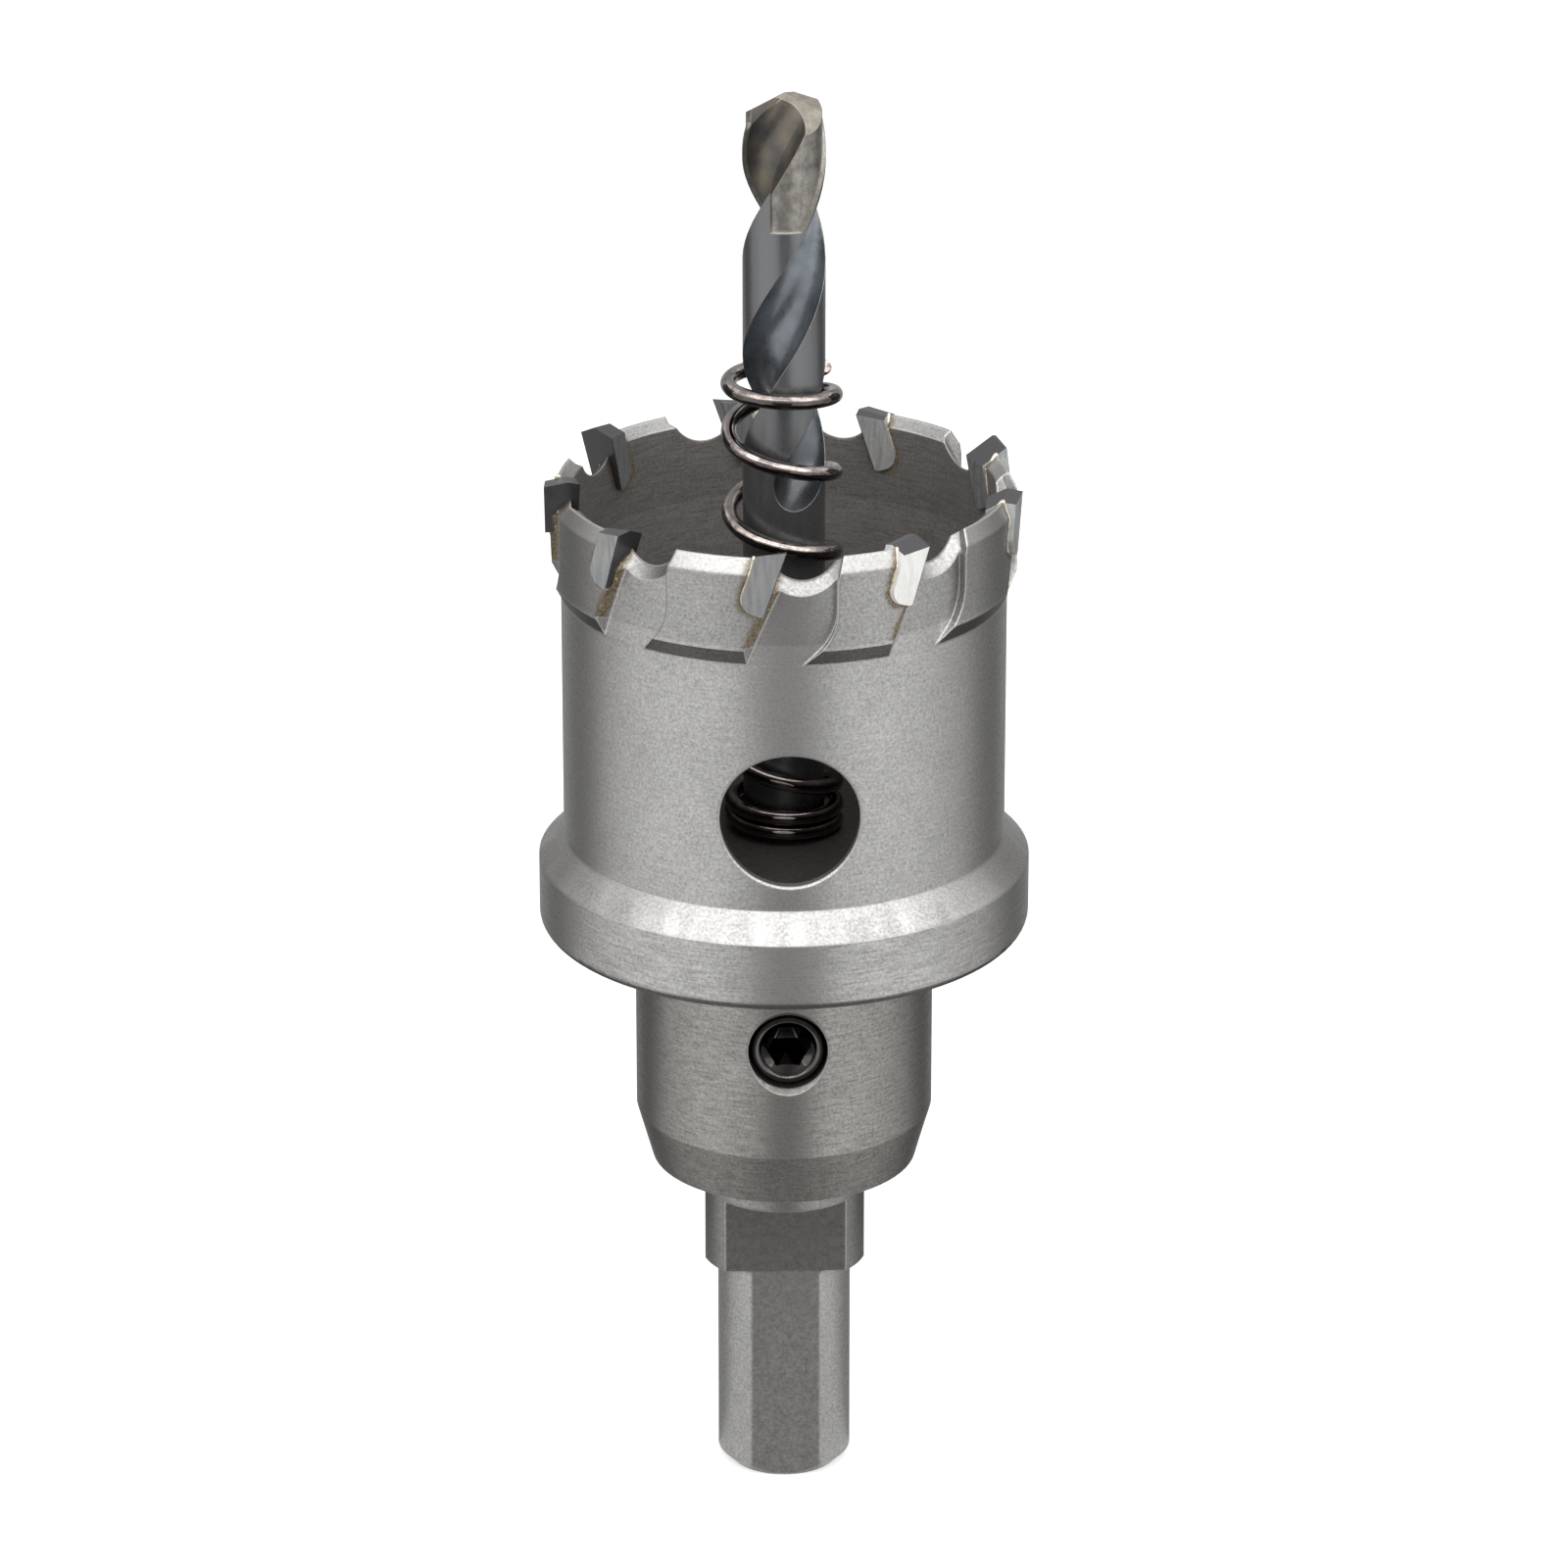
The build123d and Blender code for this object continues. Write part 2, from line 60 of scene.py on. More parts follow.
TIP_LENGTH = 5.1
TIP_LEAN = math.radians(18.5)
ROOT_RADIUS = 0.9
WALL_LEAN = math.radians(25)
WHITE = (1.0, 1.0, 1.0, 1.0)

# Lamps: name, bearing and rise in degrees, distance, width and height in metres, watts
LAMPS = (
    ("left_softbox", -62, 22, 0.7, 0.55, 0.6, 0.6),
    ("right_softbox", 60, 22, 0.7, 0.55, 0.6, 0.7),
    ("top_softbox", 6, 64, 0.7, 1.6, 0.7, 4.6),
    ("strip_lamp", -12, 46, 0.6, 0.5, 0.022, 0.42),
)
# Cards: name, first and last bearing, height above the floor in metres, brightness; 0 high is flat
CARDS = (
    ("ground_front_card", -36, 36, 0, 0.43),
    ("ground_left_card", -100, -36, 0, 0.66),
    ("ground_right_card", 36, 100, 0, 0.66),
    ("ground_rear_card", 100, 260, 0, 0.26),
    ("front_card", -18, 18, 0.12, 0.13),
    ("left_card", -78, -18, 0.3, 0.93),
    ("left_end_card", -102, -78, 0.3, 0.7),
    ("right_card", 18, 58, 0.3, 0.97),
    ("right_middle_card", 58, 82, 0.3, 0.8),
    ("right_end_card", 82, 102, 0.3, 0.55),
    ("rear_left_card", -140, -104, 0.3, 0.08),
    ("rear_right_card", 104, 140, 0.3, 0.08),
    ("rear_left_end_card", -165, -140, 0.3, 0.4),
    ("rear_right_end_card", 140, 165, 0.3, 0.4),
    ("rear_card", 165, 195, 0.3, 0.5),
)

Grid = np.ndarray
Tree = bpy.types.NodeTree
Node = bpy.types.Node
Span = tuple[float, float]


def linear(shade: str) -> tuple[float, float, float, float]:
    """Turns an sRGB hex colour into linear light.

    Args:
        shade: Six hex digits after a hash.

    Returns:
        Red, green, blue and an alpha of 1.
    """
    parts = [int(shade[place : place + 2], 16) / 255 for place in (1, 3, 5)]
    red, green, blue = (c / 12.92 if c <= 0.04045 else ((c + 0.055) / 1.055) ** 2.4 for c in parts)
    return (red, green, blue, 1.0)


def put(tree: Tree, kind: str, inputs: tuple | dict[int | str, object] = (), **settings: object) -> Node:
    """Adds one node, with its settings, and fills or links its inputs.

    Args:
        tree: The node tree that takes the node.
        kind: The node's type, without ShaderNode in front.
        inputs: A value, a hex colour, a socket or a node for each input, in their order or by name.
        **settings: The node's own properties.

    Returns:
        The new node.
    """
    node = tree.nodes.new("ShaderNode" + kind)
    for name, value in settings.items():
        setattr(node, name, value)
    for key, value in inputs.items() if isinstance(inputs, dict) else enumerate(inputs):
        named = [s for s in node.inputs if s.enabled and s.name == key]
        socket = named[0] if named else node.inputs[key]
        if isinstance(value, str):
            value = linear(value)
        if isinstance(value, Node):
            value = next(s for s in value.outputs if s.enabled)
        if isinstance(value, bpy.types.NodeSocket):
            tree.links.new(value, socket)
        else:
            socket.default_value = value
    return node


def new_mesh(name: str, points: Grid, quads: np.ndarray, smooth: bool = True) -> bpy.types.Object:
    """Puts points and quads into a new object of the scene.

    Args:
        name: The piece's name.
        points: Vertex positions in millimetres, one row each.
        quads: Four vertex numbers per face, one row each.
        smooth: Whether the faces are shaded smooth.

    Returns:
        The new object, at the origin.
    """
    mesh = bpy.data.meshes.new(name)
    mesh.vertices.add(len(points))
    mesh.vertices.foreach_set("co", (points * MM).astype(np.float32).ravel())
    mesh.loops.add(quads.size)
    mesh.loops.foreach_set("vertex_index", quads.astype(np.int32).ravel())
    mesh.polygons.add(len(quads))
    mesh.polygons.foreach_set("loop_start", np.arange(0, quads.size, 4, dtype=np.int32))
    mesh.update(calc_edges=True)
    mesh.validate()
    mesh.polygons.foreach_set("use_smooth", np.full(len(mesh.polygons), smooth))
    piece = bpy.data.objects.new(name, mesh)
    bpy.context.scene.collection.objects.link(piece)
    return piece


def lattice(rows: int, columns: int, wrap: bool) -> np.ndarray:
    """Quads over a grid of points that is stored row by row.

    Point (i, j) is joined to (i + 1, j), (i + 1, j + 1) and (i, j + 1), and the last column to the
    first one where the grid wraps.

    Args:
        rows: Points along the first parameter.
        columns: Points along the second parameter.
        wrap: Whether the second parameter closes on itself.

    Returns:
        One row of four vertex numbers per quad.
    """
    i, j = np.meshgrid(np.arange(rows - 1), np.arange(columns if wrap else columns - 1), indexing="ij")
    after = (j + 1) % columns
    corners = [i * columns + j, i * columns + after, (i + 1) * columns + after, (i + 1) * columns + j]
    return np.stack(corners, axis=-1).reshape(-1, 4)


def tube(path: Grid, across: Grid, radii: np.ndarray, sides: int) -> Grid:
    """Carries a circle along a path.

    The circle at a path point P with direction T stands in the plane of A, the part of the across
    vector that is square to T, and of B = T x A: P + r (A cos v + B sin v).

    Args:
        path: Path points, one row each.
        across: A vector for each path point that is not along the path.
        radii: The circle's radius at each path point.
        sides: Points round the circle.

    Returns:
        Grid of points, path point by path point.
    """
    along = np.gradient(path, axis=0)
    along /= np.linalg.norm(along, axis=1, keepdims=True)
    first = across - (across * along).sum(axis=1, keepdims=True) * along
    first /= np.linalg.norm(first, axis=1, keepdims=True)
    second = np.cross(along, first)
    turn = np.linspace(0, 2 * np.pi, sides, endpoint=False)
    ring = first[:, None] * np.cos(turn)[None, :, None] + second[:, None] * np.sin(turn)[None, :, None]
    return path[:, None] + radii[:, None, None] * ring


def turned(points: Grid, bearing: float) -> Grid:
    """Turns points about the axis from the front of the saw to a bearing, in degrees."""
    angle = math.radians(bearing)
    spin = np.array([[math.cos(angle), math.sin(angle), 0], [-math.sin(angle), math.cos(angle), 0], [0, 0, 1]])
    return points @ spin


def away(bearing: float, rise: float) -> Vector:
    """Unit vector from the axis towards a bearing and an angle above the level, in degrees."""
    side, up = math.radians(bearing), math.radians(rise)
    return Vector((math.sin(side) * math.cos(up), -math.cos(side) * math.cos(up), math.sin(up)))


def empty_material(name: str) -> tuple[bpy.types.Material, Tree]:
    """Makes a material without nodes and hands it back with its node tree."""
    material = bpy.data.materials.new(name)
    material.use_nodes = True
    material.node_tree.nodes.clear()
    return material, material.node_tree


class Layer(Enum):
    """How a colour is laid over another."""

    COVER = "MIX"
    TINT = "MULTIPLY"


class Lathe:
    """A new material, and measures of a shaded point about the saw's axis in millimetres and degrees.

    Attributes: material and tree; place, with x to the right of the axis, y behind it and z above the
    shank's end; radius; bearing; direction, a unit vector from the axis to the point; normal, the true
    one; and lift, which is how far the face looks up, from -1 to 1.
    """

    def __init__(self, name: str) -> None:
        """Starts a material with the nodes of the measures.

        Args:
            name: The material's name.
        """
        self.material, self.tree = empty_material(name)
        tree = self.tree
        spot = put(tree, "TexCoord").outputs["Object"]
        self.place = put(tree, "VectorMath", {0: spot, "Scale": 1 / MM}, operation="SCALE")
        self.x, self.y, self.z = put(tree, "SeparateXYZ", (self.place,)).outputs
        flat = put(tree, "VectorMath", (self.place, (1.0, 1.0, 0.0)), operation="MULTIPLY")
        self.radius = put(tree, "VectorMath", (flat,), operation="LENGTH").outputs["Value"]
        self.direction = put(tree, "VectorMath", (flat,), operation="NORMALIZE")
        ahead = put(tree, "Math", (self.y, -1.0), operation="MULTIPLY")
        angle = put(tree, "Math", (self.x, ahead), operation="ARCTAN2")
        self.bearing = put(tree, "Math", (angle,), operation="DEGREES")
        self.normal = put(tree, "NewGeometry").outputs["Normal"]
        self.lift = put(tree, "SeparateXYZ", (self.normal,)).outputs["Z"]

    def rings(self, pitch: float, sway: float) -> Node:
        """Vector whose noise runs in fine rings round the axis.

        Args:
            pitch: Distance from ring to ring.
            sway: How much the rings change along their way round.

        Returns:
            Node with the vector.
        """
        tree = self.tree
        drift = put(tree, "VectorMath", {0: self.direction, "Scale": sway}, operation="SCALE")
        rise = put(tree, "Math", (self.z, self.radius), operation="ADD")
        steps = put(tree, "Math", (rise, 1 / pitch), operation="MULTIPLY")
        lift = put(tree, "CombineXYZ", {"Z": steps})
        return put(tree, "VectorMath", (drift, lift), operation="ADD")

    def uneven(self, *rows: tuple[float, float, float]) -> list[Node]:
        """Unevenness of a finish, from coarse clouds to fine grain.

        Args:
            *rows: Scale per millimetre, detail and roughness of each.

        Returns:
            A node for each.
        """
        names = ("Scale", "Detail", "Roughness")
        return [put(self.tree, "TexNoise", {"Vector": self.place} | dict(zip(names, row))) for row in rows]

    def between(self, measure: object, low: float, high: float, edge: float) -> Node:
        """Mask that is 1 where a measure lies between two values and fades to 0 over a soft edge.

        Args:
            measure: Socket or node with the measure.
            low: Lower bound.
            high: Upper bound.
            edge: Width of the fade.

        Returns:
            Node with the mask.
        """
        fades = (measure, low - edge, low), (measure, high, high + edge, 1.0, 0.0)
        masks = (put(self.tree, "MapRange", fade, interpolation_type="SMOOTHSTEP") for fade in fades)
        return self.overlap(*masks)

    def overlap(self, first: object, *others: object) -> object:
        """Mask of where all of some masks lie, or a share of it: their product."""
        for mask in others:
            first = put(self.tree, "Math", (first, mask), operation="MULTIPLY")
        return first

    def union(self, first: object, *others: object) -> object:
        """Mask of where any of some masks lies: the largest value."""
        for mask in others:
            first = put(self.tree, "Math", (first, mask), operation="MAXIMUM")
        return first

    def weighed(self, start: object, *terms: tuple[object, object]) -> object:
        """Sum of a start value and of measures times their weights.

        Args:
            start: What the sum starts from.
            *terms: Pairs of a measure and its weight.

        Returns:
            Node with the sum.
        """
        for measure, weight in terms:
            start = put(self.tree, "Math", (measure, weight, start), operation="MULTIPLY_ADD")
        return start

    def layered(self, colour: object, *layers: tuple[object, object], how: Layer = Layer.COVER) -> object:
        """Colour with others laid over it in turn.

        Args:
            colour: The first colour.
            *layers: Pairs of a mask and the colour that goes over the ones before.
            how: Whether they cover or tint those.

        Returns:
            Node with the colour.
        """
        for mask, over in layers:
            parts = {"Factor": mask, "A": colour, "B": over}
            colour = put(self.tree, "Mix", parts, data_type="RGBA", blend_type=how.value)
        return colour

    def edges(self, radius: float) -> tuple[Node, Node]:
        """Shading normal that rounds the edges, and a mask of the edges that it rounds.

        The mask grows as the rounded normal turns away from the true one: 1 less their dot product.

        Args:
            radius: Radius of the rounding in millimetres.

        Returns:
            Nodes with the normal and the mask.
        """
        soft = put(self.tree, "Bevel", {"Radius": radius * MM}, samples=6)
        agree = put(self.tree, "VectorMath", (soft, self.normal), operation="DOT_PRODUCT").outputs["Value"]
        return soft, put(self.tree, "MapRange", (agree, 0.995, 0.93))

    def beside_tooth(self) -> Node:
        """Level distance from the cutting corner of the nearest tooth, positive ahead of it.

        For each tooth the angle from its corner is wrapped to half a turn either way, the smallest
        one is kept, and the distance is the radius times its sine.

        Returns:
            Node with the distance in millimetres.
        """
        tree = self.tree
        nearest: Node | None = None
        for bearing in TOOTH_BEARINGS:
            offset = put(tree, "Math", (self.bearing, bearing), operation="SUBTRACT")
            gap = put(tree, "Math", (offset, 180.0, -180.0), operation="WRAP")
            if nearest is None:
                nearest = gap
                continue
            here, there = (put(tree, "Math", (turn,), operation="ABSOLUTE") for turn in (gap, nearest))
            closer = put(tree, "Math", (here, there), operation="LESS_THAN")
            nearest = put(tree, "Mix", {"Factor": closer, "A": nearest, "B": gap}, data_type="FLOAT")
        turn = put(tree, "Math", (put(tree, "Math", (nearest,), operation="RADIANS"),), operation="SINE")
        return put(tree, "Math", (turn, self.radius), operation="MULTIPLY")

    def on_plate(self) -> tuple[Node, Node, Node]:
        """Place on the leaning plate of the nearest tip.

        Returns:
            Nodes with the level distance from the tip's corner, the height above it, and the distance
            across the plate from its middle, which is half the thickness at its front and its back.
        """
        level = self.beside_tooth()
        rise = put(self.tree, "Math", (self.z, TIP_CORNER), operation="SUBTRACT")
        plate = self.weighed(-TIP_THICKNESS / 2, (rise, math.sin(TIP_LEAN)), (level, -math.cos(TIP_LEAN)))
        return level, rise, plate

    def from_root(self) -> tuple[Node, Node]:
        """Distances about the root of the nearest tip, seen from the side.

        Across the plate the distance is counted from its middle, and down it from where its round
        root starts. The first result is the length of both, less the root's radius, which is 0 on the
        tip's edge. The second is the level distance from a leaning line that follows the flute's wall.

        Returns:
            Nodes with the two distances in millimetres.
        """
        tree = self.tree
        level, rise, plate = self.on_plate()
        across = put(tree, "Math", (plate,), operation="ABSOLUTE")
        across = put(tree, "Math", (across, TIP_THICKNESS / 2 - ROOT_RADIUS), operation="SUBTRACT")
        down = self.weighed(ROOT_RADIUS - TIP_LENGTH, (rise, -math.cos(TIP_LEAN)), (level, -math.sin(TIP_LEAN)))
        pair = put(tree, "CombineXYZ", {"X": self.union(across, 0.0), "Y": self.union(down, 0.0)})
        length = put(tree, "VectorMath", (pair,), operation="LENGTH").outputs["Value"]
        root = put(tree, "Math", (length, ROOT_RADIUS), operation="SUBTRACT")
        slant = self.weighed(-0.6, (rise, -math.tan(WALL_LEAN)))
        wall = put(tree, "Math", (level, slant), operation="ADD")
        return root, put(tree, "Math", (wall,), operation="ABSOLUTE")

    def finished(self, inputs: dict[str, object], skin: dict[str, object]) -> bpy.types.Material:
        """Closes the material with its shader.

        Args:
            inputs: The shader's inputs, without its normal.
            skin: Inputs of the relief that gives the normal.

        Returns:
            The material.
        """
        relief = put(self.tree, "Bump", skin)
        shader = put(self.tree, "BsdfPrincipled", inputs | {"Normal": relief})
        put(self.tree, "OutputMaterial", {"Surface": shader})
        return self.material


class TipSide(Enum):
    """Which copy of the carbide a tip gets: the plain one, or one painted brighter where the tip catches more
    light.
    """

    PLAIN = 1
    PAINTED_BRIGHT = 2
    PAINTED_LIGHTER = 3


@dataclass(frozen=True)
class TurnedSteel:
    """Turned and bead-blasted alloy steel of the body.

    The blasting gives a satin grey with a fine sparkling grain over faint turning lines. Next to the
    brazed tips the heat and the flux leave a gold-brown stain. The spans are heights or radii.
    """

    name: str = "blasted_turned_steel"
    grain_dark: str = "#9C9B99"
    worn: str = "#CFCECC"
    bright: str = "#EFEEEB"
    shadow: str = "#8A8886"
    cone: str = "#CDCCCB"
    hub: str = "#DCD9D7"
    band: str = "#EBEBEB"
    neck: str = "#D6D6D6"
    bore: str = "#C5C1BF"
    deep_painted_shade: str = "#969494"
    ledge: str = "#F5F5F5"
    stain: str = "#8A7757"
    soot: str = "#4A3E30"
    roughness: float = 0.42
    line_pitch: float = 0.14
    turned_span: Span = (25.0, 51.0)
    cone_span: Span = (25.5, 29.6)
    flat_span: Span = (-1.0, 23.0)
    flat_reach: Span = (4.27, 4.33)
    hub_span: Span = (25.0, 44.4)
    hub_radii: Span = (6.3, 12.0)
    band_span: Span = (72.4, 80.0)
    neck_span: Span = (17.3, 25.4)
    bore_span: Span = (51.8, 78.15)
    bore_radii: Span = (-1.0, 15.55)
    cup_span: Span = (40.0, 72.2)
    cup_radii: Span = (16.42, 19.0)
    ledge_span: Span = (44.0, 51.7)
    rim_span: Span = (77.95, 79.1)
    rim_radii: Span = (16.3, 17.2)
    wall_span: Span = (72.35, 77.2)
    wall_radii: Span = (16.5, 17.3)
    stain_span: Span = (71.0, 79.4)

    def make(self) -> bpy.types.Material:
        """Builds the material."""
        at = Lathe(self.name)
        tree = at.tree
        # Grain of 0.2 mm, a little coarser than the real blasting so that it shows, then broad clouds,
        # a mottled skin, the patches of the stain and its scorched flecks
        grain, cloud, mottle, patchy, scorch = at.uneven(
            (5.0, 2.0, 0.6), (0.35, 3.0, 0.55), (1.6, 4.0, 0.7), (1.3, 4.0, 0.65), (6.0, 4.0, 0.75)
        )
        # Turning lines, drawn a little coarser than the real feed, and clearest on hub, flange and bore
        lines = put(tree, "TexNoise", {"Vector": at.rings(self.line_pitch, 9.0), "Scale": 1.0, "Detail": 1.0})
        even = put(tree, "Math", (lines, 0.5), operation="SUBTRACT")
        inside = at.between(at.radius, *self.bore_radii, 0.04)
        bore = at.overlap(inside, at.between(at.z, *self.bore_span, 0.1))
        coarse = at.between(at.z, *self.turned_span, 0.2)
        ringed = at.weighed(0.16, (coarse, 0.24), (bore, 0.24))
        texture = at.weighed(0.14, (grain, 0.6), (even, ringed), (cloud, 0.12))
        share = put(tree, "MapRange", (texture, 0.34, 0.66))
        colour = at.layered(self.grain_dark, (share, self.worn))

        # Hub cone and chuck flats carry a darker, mottled skin
        patches = put(tree, "MapRange", (mottle, 0.35, 0.65, 0.55, 0.95))
        cone = at.between(at.z, *self.cone_span, 0.15)
        low = at.between(at.z, *self.flat_span, 0.1)
        for turn in np.radians((0.0, 120.0, 240.0)):
            facing = (math.sin(turn), -math.cos(turn), 0.0)
            reach = put(tree, "VectorMath", (at.place, facing), operation="DOT_PRODUCT").outputs["Value"]
            cone = at.union(cone, at.overlap(at.between(reach, *self.flat_reach, 0.02), low))
        # The hub is a little warmer than the cup, and darkened by painted shade
        hub = at.overlap(at.between(at.z, *self.hub_span, 0.3), at.between(at.radius, *self.hub_radii, 0.1))
        # The inside of the cup is dark with cutting oil and scale, and painted shade darkens it further towards
        # its floor
        depth = put(tree, "MapRange", (at.z, 66.0, 56.0), interpolation_type="SMOOTHSTEP")
        # Painted shade on the faces that look down on the outside of the cup, and on the upward faces of the
        # flange's ledge, which are toned down a little under their highlight
        under = put(tree, "MapRange", (at.lift, -0.2, -0.42))
        low_cup = at.between(at.z, *self.cup_span, 0.05)
        under = at.overlap(under, low_cup, at.between(at.radius, *self.cup_radii, 0.03))
        ledge_painted_shade = put(tree, "MapRange", (at.lift, 0.3, 0.5))
        ledge_painted_shade = at.overlap(ledge_painted_shade, at.between(at.z, *self.ledge_span, 0.1))
        colour = at.layered(
            colour,
            (at.overlap(cone, patches), self.cone),
            (hub, self.hub),
            (at.between(at.z, *self.band_span, 0.2), self.band),
            # The neck is darkened by painted shade over its highlight
            (at.between(at.z, *self.neck_span, 0.1), self.neck),
            (bore, self.bore),
            (at.overlap(depth, bore), self.deep_painted_shade),
            (under, self.shadow),
            (ledge_painted_shade, self.ledge),
            how=Layer.TINT,
        )

        # All edges are brightened, partly real wear and partly painted highlight, and the rim's top gets a
        # painted highlight
        rim_top = at.between(at.z, *self.rim_span, 0.25)
        wear_and_painted_highlight = at.overlap(rim_top, at.between(at.radius, *self.rim_radii, 0.1), 0.22)
        wear_and_painted_highlight = at.union(wear_and_painted_highlight, at.overlap(at.edges(0.1)[1], 0.75))

        # Heat stain: a ragged rim round each tip's root, and the whole wall of the flute
        root, wall = at.from_root()
        ragged = at.weighed(root, (patchy, 0.7))
        rim = put(tree, "MapRange", (ragged, 0.98, 0.5, 0.0, 0.9), interpolation_type="SMOOTHSTEP")
        frayed = at.weighed(wall, (patchy, 0.9))
        strip = put(tree, "MapRange", (frayed, 1.2, 0.6), interpolation_type="SMOOTHSTEP")
        slope = at.between(at.radius, *self.wall_radii, 0.2)
        strip = at.overlap(strip, slope, at.between(at.z, *self.wall_span, 0.12))
        stained = at.overlap(at.union(rim, strip), at.between(at.z, *self.stain_span, 0.2))
        heat = put(tree, "MapRange", (scorch, 0.44, 0.62))
        part = put(tree, "MapRange", (scorch, 0.3, 0.7, 0.62, 1.0))
        tint = at.layered(self.stain, (heat, self.soot))
        colour = at.layered(colour, (wear_and_painted_highlight, self.bright), (at.overlap(stained, part), tint))

        soft = put(tree, "Bevel", {"Radius": 0.26 * MM}, samples=6)
        rough, sleek = self.roughness + 0.06, self.roughness - 0.06
        gloss = put(tree, "MapRange", (texture, 0.36, 0.64, rough, sleek))
        return at.finished(
            {
                "Base Color": colour,
                "Metallic": at.weighed(1.0, (bore, -0.75)),
                "Roughness": at.weighed(gloss, (stained, 0.1)),
            },
            {"Strength": 0.35, "Distance": 0.02 * MM, "Height": texture, "Normal": soft},
        )


@dataclass(frozen=True)
class GroundCarbide:
    """Sintered tungsten carbide, ground on every cutting face.

    Grinding leaves a cool grey of medium gloss with upright hairlines. The rake face, which nothing
    has touched since sintering, looks nearly black, and faces that look up are painted nearly black: painted
    shade.
    """

    name: str = "ground_carbide"
    light: str = "#B0B0AF"
    dark: str = "#8D9093"
    tan: str = "#94897A"
    rake_and_top_shade: str = "#4C4C4E"
    metal: float = 0.55
    roughness: float = 0.32

    def make(self) -> bpy.types.Material:
        """Builds the material."""
        at = Lathe(self.name)
        tree = at.tree
        # Grinding marks 0.3 mm apart, upright on the faces
        stretch = put(tree, "VectorMath", (at.place, (3.2, 3.2, 0.35)), operation="MULTIPLY")
        hairs = put(tree, "TexNoise", {"Vector": stretch, "Scale": 1.0, "Detail": 2.0})
        # Fine grain, and the furnace's thin flux stain in soft patches a millimetre wide
        grain, flux = at.uneven((6.0, 2.0, 0.5), (0.9, 3.0, 0.6))
        blend = at.weighed(hairs, (grain, 0.4))
        share = put(tree, "MapRange", (blend, 0.5, 0.9))
        patch = put(tree, "MapRange", (flux, 0.5, 0.72, 0.0, 0.45))
        # The unground rake face is dark, and the faces that look up are painted dark by how far they look up:
        # painted shade
        front = put(tree, "MapRange", (at.on_plate()[2], -0.9, -0.95))
        top = put(tree, "MapRange", (at.lift, 0.5, 0.7))
        bare = at.union(front, top)
        colour = at.layered(self.dark, (share, self.light), (patch, self.tan), (bare, self.rake_and_top_shade))
        soft = put(tree, "Bevel", {"Radius": 0.05 * MM}, samples=6)
        gloss = put(tree, "MapRange", (share, 0.0, 1.0, self.roughness + 0.06, self.roughness - 0.05))
        return at.finished(
            {"Base Color": colour, "Metallic": self.metal, "Roughness": gloss},
            {"Strength": 0.12, "Distance": 0.01 * MM, "Height": blend, "Normal": soft},
        )


